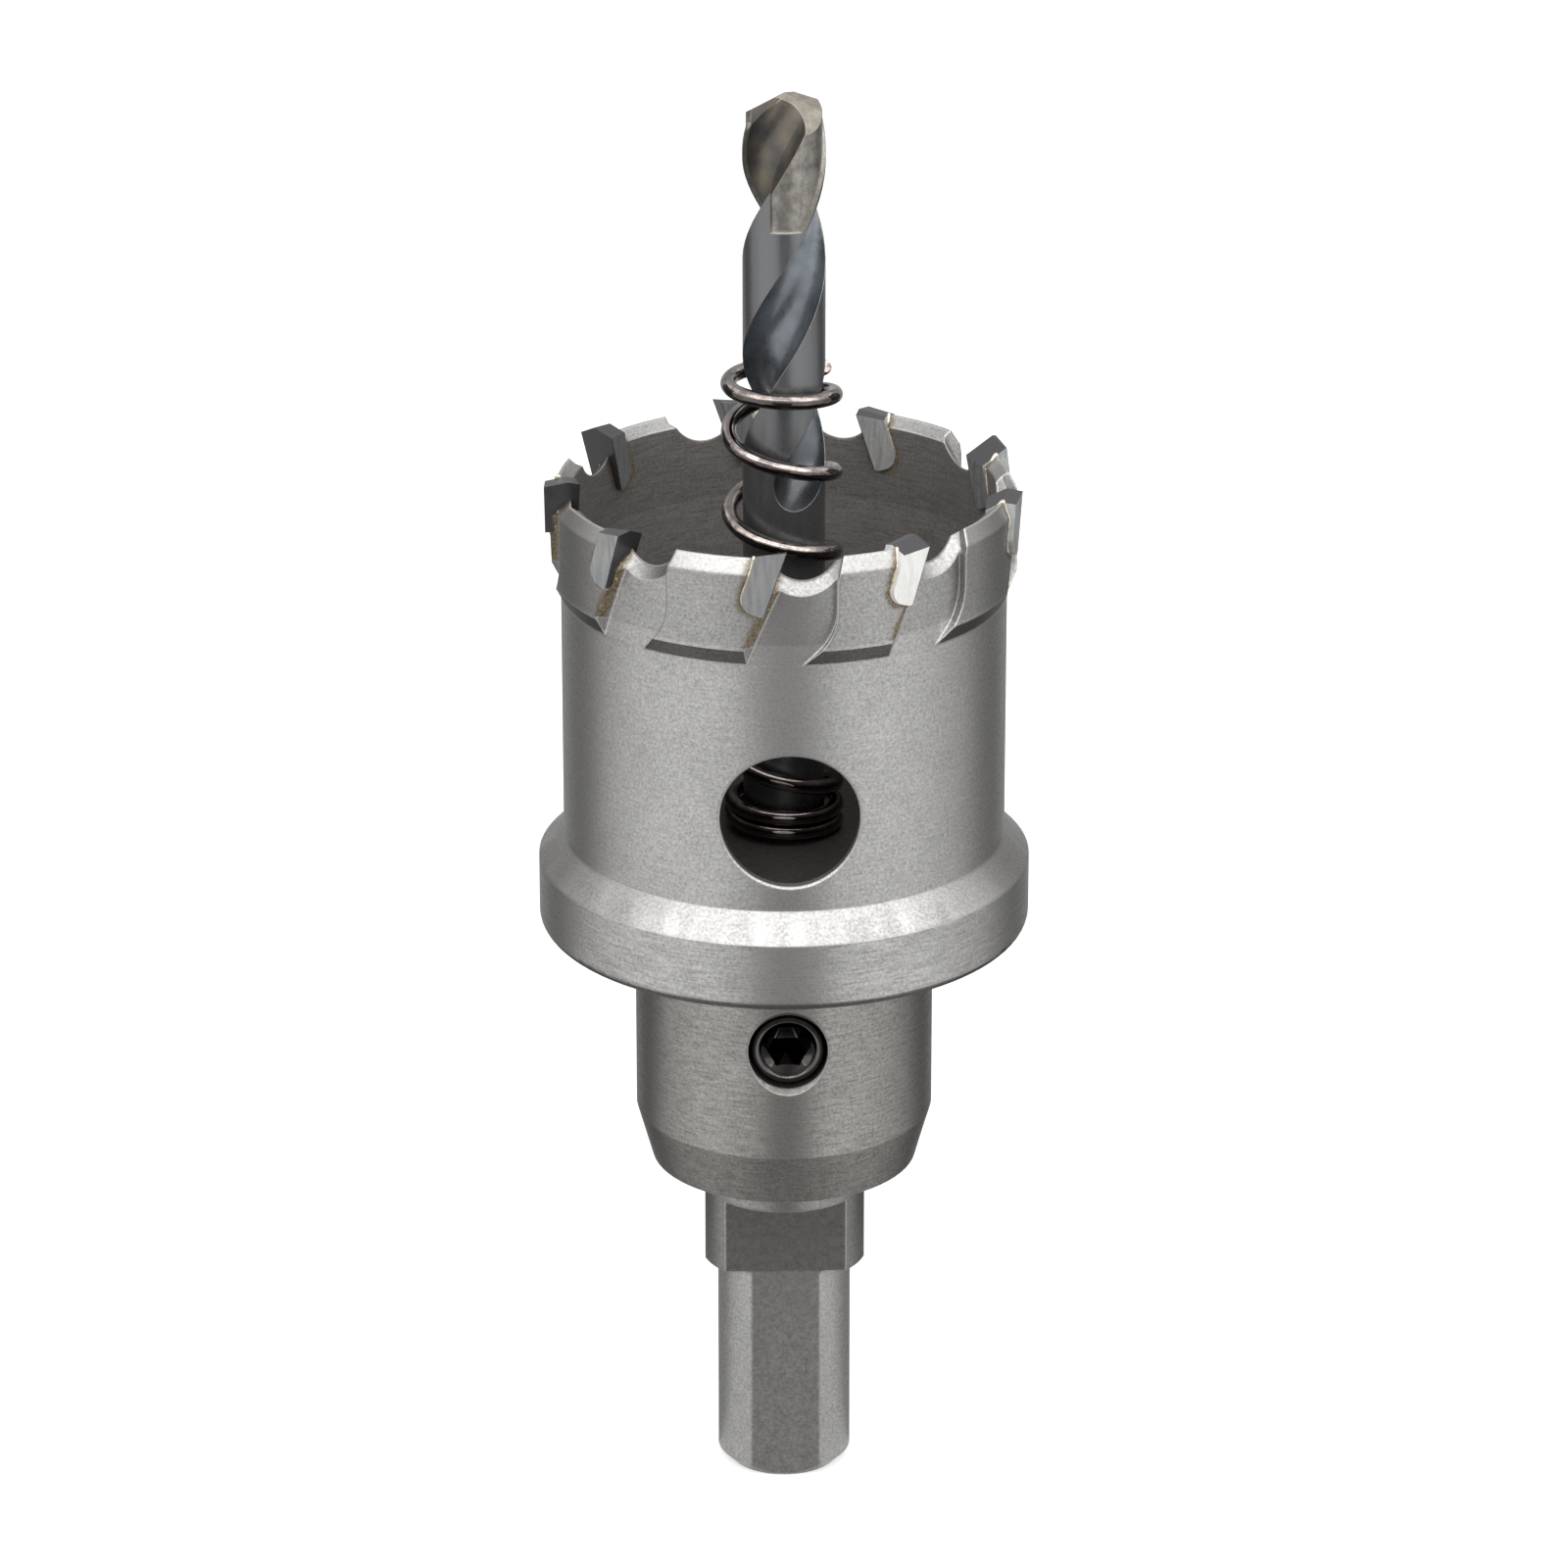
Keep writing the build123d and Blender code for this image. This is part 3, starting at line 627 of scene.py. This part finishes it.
@dataclass(frozen=True)
class DrillSteel:
    """High-speed steel with a blue-grey steam oxide, ground bare near the point.

    The oxide is semi-gloss with fine streaks along the drill, and the ground part is a brighter satin.
    """

    name: str = "oxidised_high_speed_steel"
    land: str = "#8E8F90"
    land_dark: str = "#7B7C7E"
    flute: str = "#878D92"
    flute_dark: str = "#6B7177"
    amber: str = "#837B6F"
    amber_dark: str = "#59595A"
    satin: str = "#A5A199"
    satin_dark: str = "#777572"
    foot: str = "#5E6164"
    point: str = "#A39D92"
    point_dark: str = "#837E75"
    bright: str = "#F0EFEC"
    metal: float = 0.82
    amber_span: Span = (97.0, 101.0)
    foot_span: Span = (84.0, 80.0)
    ledge: float = 98.6
    relief: float = 0.26
    margin_floor: float = 2.9
    margin: float = 2.96
    roughness: float = 0.3

    def make(self) -> bpy.types.Material:
        """Builds the material."""
        at = Lathe(self.name)
        tree = at.tree
        # Streaks 0.25 mm wide that run along the drill
        stretch = put(tree, "VectorMath", (at.place, (4.0, 4.0, 0.25)), operation="MULTIPLY")
        streaks = put(tree, "TexNoise", {"Vector": stretch, "Scale": 1.0, "Detail": 2.0})
        cloud, grain, mottle = at.uneven((0.5, 3.0, 0.5), (6.0, 2.0, 0.5), (1.4, 5.0, 0.65))
        # Oxide below the ledge, satin above it
        mixed = at.weighed(0.0, (streaks, 0.3), (cloud, 0.5), (grain, 0.2))
        tone = put(tree, "MapRange", (mixed, 0.38, 0.62))
        spread = at.weighed(0.0, (mottle, 0.85), (streaks, 0.15))
        spread = put(tree, "MapRange", (spread, 0.36, 0.64))
        upper = put(tree, "Math", (at.z, self.ledge), operation="GREATER_THAN")
        satin = at.layered(self.satin_dark, (spread, self.satin))
        # The flutes are amber near the point, and painted shade darkens their foot
        soft_tone = put(tree, "MapRange", (cloud, 0.3, 0.7))
        amber = at.layered(self.amber_dark, (soft_tone, self.amber))
        above, below = (
            put(tree, "MapRange", (at.z, *span), interpolation_type="SMOOTHSTEP")
            for span in (self.amber_span, self.foot_span)
        )
        flutes = at.layered(self.flute_dark, (soft_tone, self.flute), (above, amber), (below, self.foot))
        # The relieved lands lie deeper than the margins, and whatever is deeper still is a flute
        margin = put(tree, "MapRange", (at.radius, self.margin_floor, self.margin))
        lands = at.layered(self.land_dark, (tone, self.land), (upper, satin), (margin, self.land_dark))
        level = at.weighed(at.radius, (upper, self.relief))
        inner = put(tree, "MapRange", (level, self.margin, self.margin_floor))
        # Point facets are ground bright, the ledge gets a painted highlight, and the edges are brightened,
        # partly by real grinding and partly as a painted highlight
        facet = put(tree, "MapRange", (at.lift, 0.5, 0.62))
        high = put(tree, "Math", (at.z, self.ledge - 0.1), operation="GREATER_THAN")
        facet = at.overlap(facet, high)
        point = at.layered(self.point_dark, (spread, self.point))
        step = at.overlap(facet, at.between(at.z, self.ledge - 0.6, self.ledge + 0.3, 0.1))
        soft, edge = at.edges(0.08)
        ground = (facet, point), (step, self.bright), (at.overlap(edge, 0.75), self.point)
        colour = at.layered(lands, (inner, flutes), *ground)
        texture = put(tree, "Math", (grain, streaks), operation="ADD")
        rough, sleek = self.roughness + 0.05, self.roughness - 0.03
        gloss = put(tree, "MapRange", (texture, 0.75, 1.25, rough, sleek))
        return at.finished(
            {"Base Color": colour, "Metallic": self.metal, "Roughness": at.weighed(gloss, (upper, 0.08))},
            {"Strength": 0.1, "Distance": 0.01 * MM, "Height": texture, "Normal": soft},
        )


@dataclass(frozen=True)
class DarkWire:
    """Oil-tempered spring wire or blackened screw steel: dark, glossy and a little uneven."""

    name: str = "oil_tempered_wire"
    dark: str = "#3A3230"
    light: str = "#685C58"
    roughness: float = 0.1
    scale: float = 0.8
    coat: float = 0.6
    # Strength and colour of the painted highlight on the coils' upper side
    painted_highlight: float = 0.7
    wear_and_painted_highlight: str = "#D2C3BC"

    def make(self) -> bpy.types.Material:
        """Builds the material."""
        at = Lathe(self.name)
        tree = at.tree
        cloud, specks = at.uneven((self.scale, 5.0, 0.7), (9.0, 2.0, 0.5))
        share = put(tree, "MapRange", (cloud, 0.35, 0.68))
        # Painted highlight on the upper side of the coils, strongest on the top ones and fading on the lower
        # coils inside the cup
        patches = put(tree, "MapRange", (cloud, 0.42, 0.6, 0.2, 1.0))
        higher_coils = put(tree, "MapRange", (at.z, 58.0, 68.0, 0.25, 1.0))
        painted_highlight = at.overlap(at.between(at.lift, 0.42, 0.8, 0.14), patches, self.painted_highlight, higher_coils)
        colour = at.layered(self.dark, (share, self.light), (painted_highlight, self.wear_and_painted_highlight))
        sleek, rough = self.roughness - 0.04, self.roughness + 0.06
        gloss = put(tree, "MapRange", (specks, 0.3, 0.7, sleek, rough))
        coat = {"Coat Weight": self.coat, "Coat Roughness": 0.07, "Coat IOR": 1.9}
        return at.finished(
            {"Base Color": colour, "Metallic": 1.0, "Roughness": gloss} | coat,
            {"Strength": 0.05, "Distance": 0.02 * MM, "Height": cloud},
        )


@dataclass(frozen=True)
class BrazeMetal:
    """Silver braze round the tips: pale yellow where it is clean, brown where flux stayed on it."""

    name: str = "silver_braze"
    clean: str = "#E9E3D2"
    burnt: str = "#AFA286"
    roughness: float = 0.34

    def make(self) -> bpy.types.Material:
        """Builds the material."""
        at = Lathe(self.name)
        tree = at.tree
        (cloud,) = at.uneven((2.2, 4.0, 0.65))
        share = put(tree, "MapRange", (cloud, 0.48, 0.66))
        sleek, rough = self.roughness - 0.06, self.roughness + 0.14
        gloss = put(tree, "MapRange", (cloud, 0.3, 0.7, sleek, rough))
        return at.finished(
            {"Base Color": at.layered(self.clean, (share, self.burnt)), "Metallic": 1.0, "Roughness": gloss},
            {"Strength": 0.3, "Distance": 0.03 * MM, "Height": cloud},
        )


def dress(piece: bpy.types.Object, material: bpy.types.Material) -> bpy.types.Object:
    """Gives a piece one finish all over and hands it back."""
    piece.data.materials.clear()
    piece.data.materials.append(material)
    return piece


@dataclass
class CutterBody:
    """One-piece steel body of the saw, which stays the solid's own mesh."""

    finish: TurnedSteel = field(default_factory=TurnedSteel)

    def build(self) -> list[bpy.types.Object]:
        """Dresses the body and hands it back."""
        return [dress(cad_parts["cutter_body"], self.finish.make())]


@dataclass
class CarbideTeeth:
    """Nine carbide tips with the braze that holds them."""

    finish: GroundCarbide = field(default_factory=GroundCarbide)
    braze: BrazeMetal = field(default_factory=BrazeMetal)
    heel_round: float = 1.1
    outer_wall: float = 17.05
    inner_wall: float = 15.5
    crest_radius: float = 16.45
    crest: float = 78.95
    bead_radius: float = 0.065
    crown: float = 1.6
    flute_floor: float = 16.42
    crust_rise: Span = (74.0, 76.9)
    crust_radius: float = 0.21
    # Tips 3 and 6 get brighter copies of the carbide: painted light
    sides: dict[int, TipSide] = field(default_factory=lambda: {3: TipSide.PAINTED_BRIGHT, 6: TipSide.PAINTED_LIGHTER})

    def outline(self) -> Grid:
        """Side view of a tip's root: down the back, round the heel and along the foot to the toe.

        The back is a straight line from the crest, the heel an arc tangent to back and foot, and the
        foot a straight line square to the back.

        Returns:
            Rows of x and z.
        """
        up = np.array([math.sin(TIP_LEAN), math.cos(TIP_LEAN)])
        back = np.array([-math.cos(TIP_LEAN), math.sin(TIP_LEAN)])
        toe = np.array([0, TIP_CORNER]) - up * TIP_LENGTH
        heel = toe + back * TIP_THICKNESS
        top = heel + up * (self.crest - heel[1]) / up[1]
        above, before = heel + up * self.heel_round, heel - back * self.heel_round
        share = np.linspace(0, 1, 16)[:, None]
        quarter = share * np.pi / 2
        arc = above + before - heel + self.heel_round * (back * np.cos(quarter) - up * np.sin(quarter))
        return np.concatenate([top + (above - top) * share, arc[1:], (before + (toe - before) * share)[1:]])

    def seam(self) -> Grid:
        """Line of a tip's seam: up inside the cup, over the crest and down outside.

        Returns:
            Points of the line, one row each.
        """
        x, z = self.outline().T
        walls = (self.inner_wall, self.crest - 0.7), (self.outer_wall, self.crest - 1.15)
        inside, outside = (
            np.column_stack([x, -np.sqrt(radius**2 - x**2), z])[z < ceiling] for radius, ceiling in walls
        )
        ridge = np.array([[x[0], -math.sqrt(self.crest_radius**2 - x[0] ** 2), self.crest]])
        return np.concatenate([inside[::-1], ridge, outside])

    def bead(self, number: int, bearing: float) -> bpy.types.Object:
        """Bead of braze along the seam of one tip.

        A tube whose radius swells with six sine waves of falling strength, thickens over the crest and
        goes to nothing at both ends.

        Args:
            number: The tip's number, which seeds its unevenness.
            bearing: The tip's bearing.

        Returns:
            The bead's object.
        """
        rows, sides = 160, 12
        path = self.seam()
        steps = np.concatenate([[0], np.cumsum(np.linalg.norm(np.diff(path, axis=0), axis=1))])
        places = np.linspace(0, steps[-1], rows)
        path = np.column_stack([np.interp(places, steps, path[:, k]) for k in range(3)])
        waves = np.random.default_rng(100 + number).uniform(0, 2 * np.pi, 6)
        swell = sum(math.exp(-0.3 * k) * np.sin(places * (0.7 + 0.9 * k) + waves[k]) for k in range(6))
        ridge = places[np.argmax(path[:, 2])]
        radii = self.bead_radius * (1 + 0.22 * swell + self.crown * np.exp(-(((places - ridge) / 0.55) ** 2)))
        radii *= np.clip(np.minimum(places, places[-1] - places) / 0.5, 0.05, 1) ** 0.5
        grid = tube(path, np.tile([1.0, 0.25, 0.4], (rows, 1)), radii, sides).reshape(-1, 3)
        return new_mesh(f"braze_{number}", turned(grid, bearing), lattice(rows, sides, True))

    def build(self) -> list[bpy.types.Object]:
        """Dresses the tips and lays their seams.

        Returns:
            The tips and the seams.
        """
        # The brighter copies of the carbide are painted light for the tips that catch more of it
        dull, bright_copy = self.finish, GroundCarbide("painted_bright_carbide", "#F4F4F2", "#DEDEDC", "#E0DACE", metal=0.35)
        pale = GroundCarbide("painted_lighter_carbide", "#DCDCDA", "#AEAFB0", "#C0B8AC", metal=0.4)
        carbide = {side: finish.make() for side, finish in zip(TipSide, (dull, bright_copy, pale))}
        metal = self.braze.make()
        flux = BrazeMetal("burnt_flux", "#B39E76", "#4A3D2B", 0.55).make()
        pieces = []
        for number, bearing in enumerate(TOOTH_BEARINGS, start=1):
            side = self.sides.get(number, TipSide.PLAIN)
            pieces.append(dress(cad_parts[f"carbide_tip_{number}"], carbide[side]))
            for piece, material in ((self.bead(number, bearing), metal), (self.crust(number, bearing), flux)):
                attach(piece, BODY)
                pieces.append(dress(piece, material))
        return pieces

    def crust(self, number: int, bearing: float) -> bpy.types.Object:
        """Burnt flux in the corner between a tip's front and the floor of the flute.

        A tube along the front edge, whose radius swells and shrinks with three sine waves along it and
        two round it, and goes to nothing at both ends.

        Args:
            number: The tip's number, which seeds its unevenness.
            bearing: The tip's bearing.

        Returns:
            The crust's object.
        """
        rows, sides = 60, 14
        phase = np.random.default_rng(200 + number).uniform(0, 2 * np.pi, 5)
        share = np.linspace(0, 1, rows)
        rise = self.crust_rise[0] + (self.crust_rise[1] - self.crust_rise[0]) * share
        level = 0.05 - (TIP_CORNER - rise) * math.tan(TIP_LEAN)
        path = np.column_stack([level, -np.sqrt(self.flute_floor**2 - level**2), rise])
        swell = 1 + 0.3 * np.sin(14 * share + phase[0]) + 0.25 * np.sin(31 * share + phase[1])
        radii = self.crust_radius * swell * np.sqrt(np.clip(4 * share * (1 - share), 0.002, 1))
        grid = tube(path, np.tile([1.0, 0.0, 0.0], (rows, 1)), radii, sides)
        around = np.linspace(0, 2 * np.pi, sides, endpoint=False)[None, :]
        lumps = 0.22 * np.sin(3 * around + 25 * share[:, None] + phase[2])
        lumps = lumps + 0.15 * np.sin(5 * around - 47 * share[:, None] + phase[3])
        grid = path[:, None] + (grid - path[:, None]) * (1 + lumps)[:, :, None]
        return new_mesh(f"flux_{number}", turned(grid.reshape(-1, 3), bearing), lattice(rows, sides, True))


@dataclass
class PilotDrill:
    """Twist drill, which stays the solid's own mesh."""

    finish: DrillSteel = field(default_factory=DrillSteel)

    def build(self) -> list[bpy.types.Object]:
        """Dresses the drill and hands it back."""
        return [dress(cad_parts["pilot_drill"], self.finish.make())]


@dataclass
class GrubScrew:
    """Grub screw with a rolled thread, a dished end and a chamfered hexagon socket."""

    finish: DarkWire = field(
        default_factory=lambda: DarkWire("black_oxide_screw", "#2A2726", "#4A4341", 0.16, 2.0, 0.8, 0.0)
    )
    axis_height: float = 38.2
    face: float = 10.4
    length: float = 8.0
    radius: float = 2.9
    thread_depth: float = 0.3
    thread_pitch: float = 1.0
    across_flats: float = 3.0
    socket_depth: float = 5.6
    ring_radii: tuple[float, ...] = (2.66, 2.6, 2.55, 2.3, 2.25, 2.2, 2.1, 2.0, 1.95)
    ring_depths: tuple[float, ...] = (0.3, 0.06, 0.0, 0.0, 0.03, 0.05, 0.16, 0.3, 0.36)

    def build(self) -> list[bpy.types.Object]:
        """Makes the screw from a profile that is turned about its axis.

        The profile runs from the point, along the thread, over the ring and the dished face into the
        socket. On the thread the radius falls by a triangle wave of the length along the axis less the
        share of a turn, and in the socket it is the hexagon's: apothem / cos(angle from the flat). The
        quads are turned over, because the profile runs inwards at its end.

        Returns:
            The screw's object, by itself.
        """
        sides = 120
        turn = np.linspace(0, 2 * np.pi, sides, endpoint=False)
        sector = np.pi / 3
        hexagon = self.across_flats / 2 / np.cos((turn + sector / 2) % sector - sector / 2)

        shaft = np.linspace(0.0, self.length - 0.35, 110)[:, None]
        wave = np.abs(((shaft / self.thread_pitch - turn / (2 * np.pi)) % 1) * 2 - 1)
        groove = self.thread_depth * np.clip(1.25 * wave - 0.1, 0, 1)
        point = 1.9 + np.clip(shaft / 0.9, 0, 1)
        chamfer = 2.56 + 0.3 * (self.length - shaft)
        shaft_radius = np.minimum(np.minimum(self.radius - groove, point), chamfer)

        mouth, lip = self.ring_radii[-1], self.length - self.ring_depths[-1]
        corner, floor = lip - (mouth - hexagon), self.length - self.socket_depth
        profile = [(0.02, 0.0), (1.9, 0.0), *zip(shaft_radius, shaft[:, 0])]
        profile += [(radius, self.length - sunk) for radius, sunk in zip(self.ring_radii, self.ring_depths)]
        for share in (0.2, 0.9, 1.0):
            profile.append((mouth + (hexagon - mouth) * share, lip + (corner - lip) * share))
        profile += [(hexagon, corner + (floor - corner) * share) for share in (0.04, 1.0)]
        profile.append((0.02, floor - 0.8))
        radius, depth = (np.stack([row[part] + 0 * turn for row in profile]) for part in range(2))
        angle = turn + np.pi / 2
        out = self.face - self.length + depth
        points = np.stack([radius * np.cos(angle), -out, self.axis_height + radius * np.sin(angle)], axis=-1)
        piece = new_mesh("grub_screw", points.reshape(-1, 3), lattice(len(radius), sides, True)[:, ::-1])
        dress(piece, self.finish.make())
        piece.data.set_sharp_from_angle(angle=math.radians(35))
        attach(piece, BODY)
        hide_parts("set_screw")
        return [piece]


@dataclass
class EjectorSpring:
    """Left-handed ejector spring, closed at the foot and at the top, with a cut end."""

    finish: DarkWire = field(default_factory=DarkWire)
    wire_radius: float = 0.57
    coil_radius: float = 3.87
    floor: float = 51.92
    turns: float = 7.92
    closed_pitch: float = 1.16
    open_pitch: float = 6.1
    top_pitch: float = 0.2
    opening: Span = (1.65, 2.2)
    closing: Span = (6.75, 7.45)
    lean: float = 0.17
    upturn: float = 0.75
    upturn_length: float = 0.055
    travel: float = 20.0
    steps: int = 1100
    sides: int = 20

    def ramp(self, turn: np.ndarray, span: Span) -> np.ndarray:
        """Smooth step from 0 to 1 over a span of turns: s s (3 - 2 s)."""
        share = np.clip((turn - span[0]) / (span[1] - span[0]), 0, 1)
        return share * share * (3 - 2 * share)

    def centre_line(self) -> Grid:
        """Line in the middle of the wire.

        Round the axis it goes clockwise, seen from above, one turn per unit, and it rises by the sum
        of a pitch that opens after the foot and closes again at the top. It leans to the left in step
        with its rise, and near the cut end it turns up by the square of the way that is left.

        Returns:
            Points of the line, one row each.
        """
        turn, step = np.linspace(0, self.turns, self.steps, retstep=True)
        pitch = self.closed_pitch + (self.open_pitch - self.closed_pitch) * self.ramp(turn, self.opening)
        pitch = pitch + (self.top_pitch - self.open_pitch) * self.ramp(turn, self.closing)
        rise = np.concatenate([[0], np.cumsum((pitch[1:] + pitch[:-1]) / 2 * step)])
        angle = -2 * np.pi * turn
        upturn = self.upturn * np.clip((turn - self.turns) / self.upturn_length + 1, 0, 1) ** 2
        x = self.coil_radius * np.cos(angle) - self.lean * rise / rise[-1]
        z = self.floor + self.wire_radius + rise + upturn
        return np.column_stack([x, self.coil_radius * np.sin(angle), z])

    def build(self) -> list[bpy.types.Object]:
        """Makes the spring and attaches it to the spring's body.

        Returns:
            The spring's object, by itself.
        """
        line = self.centre_line()
        # Cut ends: the radius falls to nothing over the last points, so that the wire is closed
        ends = np.array([0.0, 0.86, 0.97])
        radii = np.full(self.steps, self.wire_radius)
        radii[:3] *= ends
        radii[-3:] *= ends[::-1]
        for last, second, third in ((0, 1, 2), (-1, -2, -3)):
            onwards = line[last] - line[second]
            line[last], line[second] = line[third] + onwards * 0.02, line[third] + onwards * 0.01
        outwards = line * np.array([1.0, 1.0, 0.0])
        points = tube(line, outwards, np.maximum(radii, 0.001), self.sides).reshape(-1, 3)
        piece = new_mesh("ejector_coil", points, lattice(self.steps, self.sides, True))
        dress(piece, self.finish.make())
        piece.data.set_sharp_from_angle(angle=math.radians(50))
        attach(piece, "spring")
        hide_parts("ejector_spring")
        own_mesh(piece)
        return [piece]


@dataclass
class Studio:
    """Pale floor, white surroundings, soft lamps and cards, with its sizes in metres."""

    floor_size: float = 6.0
    floor_shade: str = "#F2F1EF"
    middle: float = 0.055
    ground_start: float = 0.0005
    ground_height: float = 0.0002
    cove_start: float = 0.036
    cove_reach: float = 0.5
    cove_bend: float = 0.1
    cove_foot: float = 0.001

    def world(self) -> None:
        """White surroundings for camera and reflections, and a softer one for diffuse light."""
        world = bpy.data.worlds.new("studio_world")
        bpy.context.scene.world = world
        world.use_nodes = True
        tree = world.node_tree
        tree.nodes.clear()
        rays = put(tree, "LightPath").outputs
        seen = put(tree, "Math", (rays["Is Camera Ray"], rays["Is Glossy Ray"]), operation="MAXIMUM")
        seen = put(tree, "Math", (seen, rays["Is Transmission Ray"]), operation="MAXIMUM")
        strength = put(tree, "MapRange", (seen, 0.0, 1.0, 0.5, 1.0))
        light = put(tree, "Background", {"Color": WHITE, "Strength": strength})
        put(tree, "OutputWorld", {"Surface": light})

    def floor(self) -> None:
        """Pale floor under the saw, which keeps its shadow."""
        half = self.floor_size / 2 / MM
        corners = np.array([[-half, -half, 0], [half, -half, 0], [half, half, 0], [-half, half, 0]], float)
        piece = new_mesh("studio_floor", corners, np.array([[0, 1, 2, 3]]), smooth=False)
        material, tree = empty_material("pale_floor")
        seen = put(tree, "LightPath").outputs["Is Camera Ray"]
        paint = put(tree, "BsdfDiffuse", {"Color": self.floor_shade})
        glow = put(tree, "Emission", {"Color": WHITE, "Strength": 0.45})
        lit = put(tree, "AddShader", (paint, glow))
        surface = put(tree, "MixShader", (seen, paint, lit))
        put(tree, "OutputMaterial", {"Surface": surface})
        dress(piece, material)

    def lamp(self, name: str, spot: Vector, size: Span, watts: float) -> None:
        """Adds a soft rectangular lamp that faces the saw's middle.

        Args:
            name: The lamp's name.
            spot: Its place, seen from the saw's middle, in metres.
            size: Its width and height, in metres.
            watts: Its power.
        """
        data = bpy.data.lights.new(name, "AREA")
        data.shape = "RECTANGLE"
        data.size, data.size_y = size
        data.energy = watts
        lamp = bpy.data.objects.new(name, data)
        bpy.context.scene.collection.objects.link(lamp)
        lamp.location = Vector((0, 0, self.middle)) + spot
        lamp.rotation_euler = spot.to_track_quat("Z", "Y").to_euler()
        lamp.visible_camera = False

    def cove(self, height: float) -> Grid:
        """Section of a curved card: out along the floor, up a quarter circle and on to its height.

        Args:
            height: How far it rises above the floor, in metres.

        Returns:
            Rows of distance from the axis and height.
        """
        curl = np.linspace(0, np.pi / 2, 12)
        bend, end = self.cove_bend, self.cove_reach
        reach = np.concatenate([[self.cove_start], end - bend + bend * np.sin(curl), [end]])
        rise = np.concatenate([[0.0], bend - bend * np.cos(curl), [height]])
        return np.column_stack([reach, rise + self.cove_foot])

    def card(self, name: str, section: Grid, bearings: np.ndarray, shade: float) -> None:
        """Carries a section about the axis and makes it glow, for reflections only.

        Args:
            name: The card's name.
            section: Rows of distance from the axis and height, in metres.
            bearings: Bearings that it is carried through, in degrees.
            shade: How bright it looks, where 1 is white.
        """
        angle = np.radians(bearings)
        reach, rise = section[:, :1], section[:, 1:]
        points = np.stack([reach * np.sin(angle), -reach * np.cos(angle), rise + 0 * angle], axis=-1)
        piece = new_mesh(name, points.reshape(-1, 3) / MM, lattice(len(section), len(bearings), False))
        material, tree = empty_material(name)
        glow = put(tree, "Emission", {"Color": WHITE, "Strength": shade})
        put(tree, "OutputMaterial", {"Surface": glow})
        dress(piece, material)
        for ray in ("camera", "diffuse", "transmission", "volume_scatter", "shadow"):
            setattr(piece, f"visible_{ray}", False)

    def build(self) -> None:
        """Sets up floor, surroundings, lamps and cards."""
        self.world()
        self.floor()
        for name, bearing, rise, distance, width, height, watts in LAMPS:
            self.lamp(name, away(bearing, rise) * distance, (width, height), watts)
        ground = np.array([[self.ground_start, self.ground_height], [self.cove_start, self.ground_height]])
        for name, start, end, height, shade in CARDS:
            section, steps = (self.cove(height), (end - start) // 3) if height else (ground, 24)
            self.card(name, section, np.linspace(start, end, steps), shade)
        LOG.info("studio: floor, %d lamps and %d cards", len(LAMPS), len(CARDS))


@dataclass
class Viewpoint:
    """Camera at the photograph's angle, with its long lens."""

    elevation: float = 22.14
    azimuth: float = -1.6
    distance: float = 540.5
    target_height: float = 55.08
    lens: float = 168.0
    sensor: float = 36.0

    def build(self) -> None:
        """Places the camera."""
        data = bpy.data.cameras.new("camera")
        data.lens = self.lens
        data.sensor_width = self.sensor
        data.clip_start = 0.01
        data.clip_end = 50
        camera = bpy.data.objects.new("camera", data)
        bpy.context.scene.collection.objects.link(camera)
        back = away(self.azimuth, self.elevation)
        camera.location = (Vector((0, 0, self.target_height)) + back * self.distance) * MM
        camera.rotation_euler = back.to_track_quat("Z", "Y").to_euler()
        bpy.context.scene.camera = camera
        LOG.info("camera at %.3f %.3f %.3f m", *camera.location)


def main() -> None:
    """Builds the scene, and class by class."""
    logging.basicConfig(level=logging.INFO, format="%(name)s: %(message)s")
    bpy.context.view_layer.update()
    bpy.context.scene.view_settings.view_transform = "Standard"
    Viewpoint().build()
    Studio().build()
    for part in (CutterBody(), CarbideTeeth(), PilotDrill(), GrubScrew(), EjectorSpring()):
        for piece in part.build():
            LOG.info("%s: %d faces", piece.name, len(piece.data.polygons))


if __name__ == "__main__":
    main()
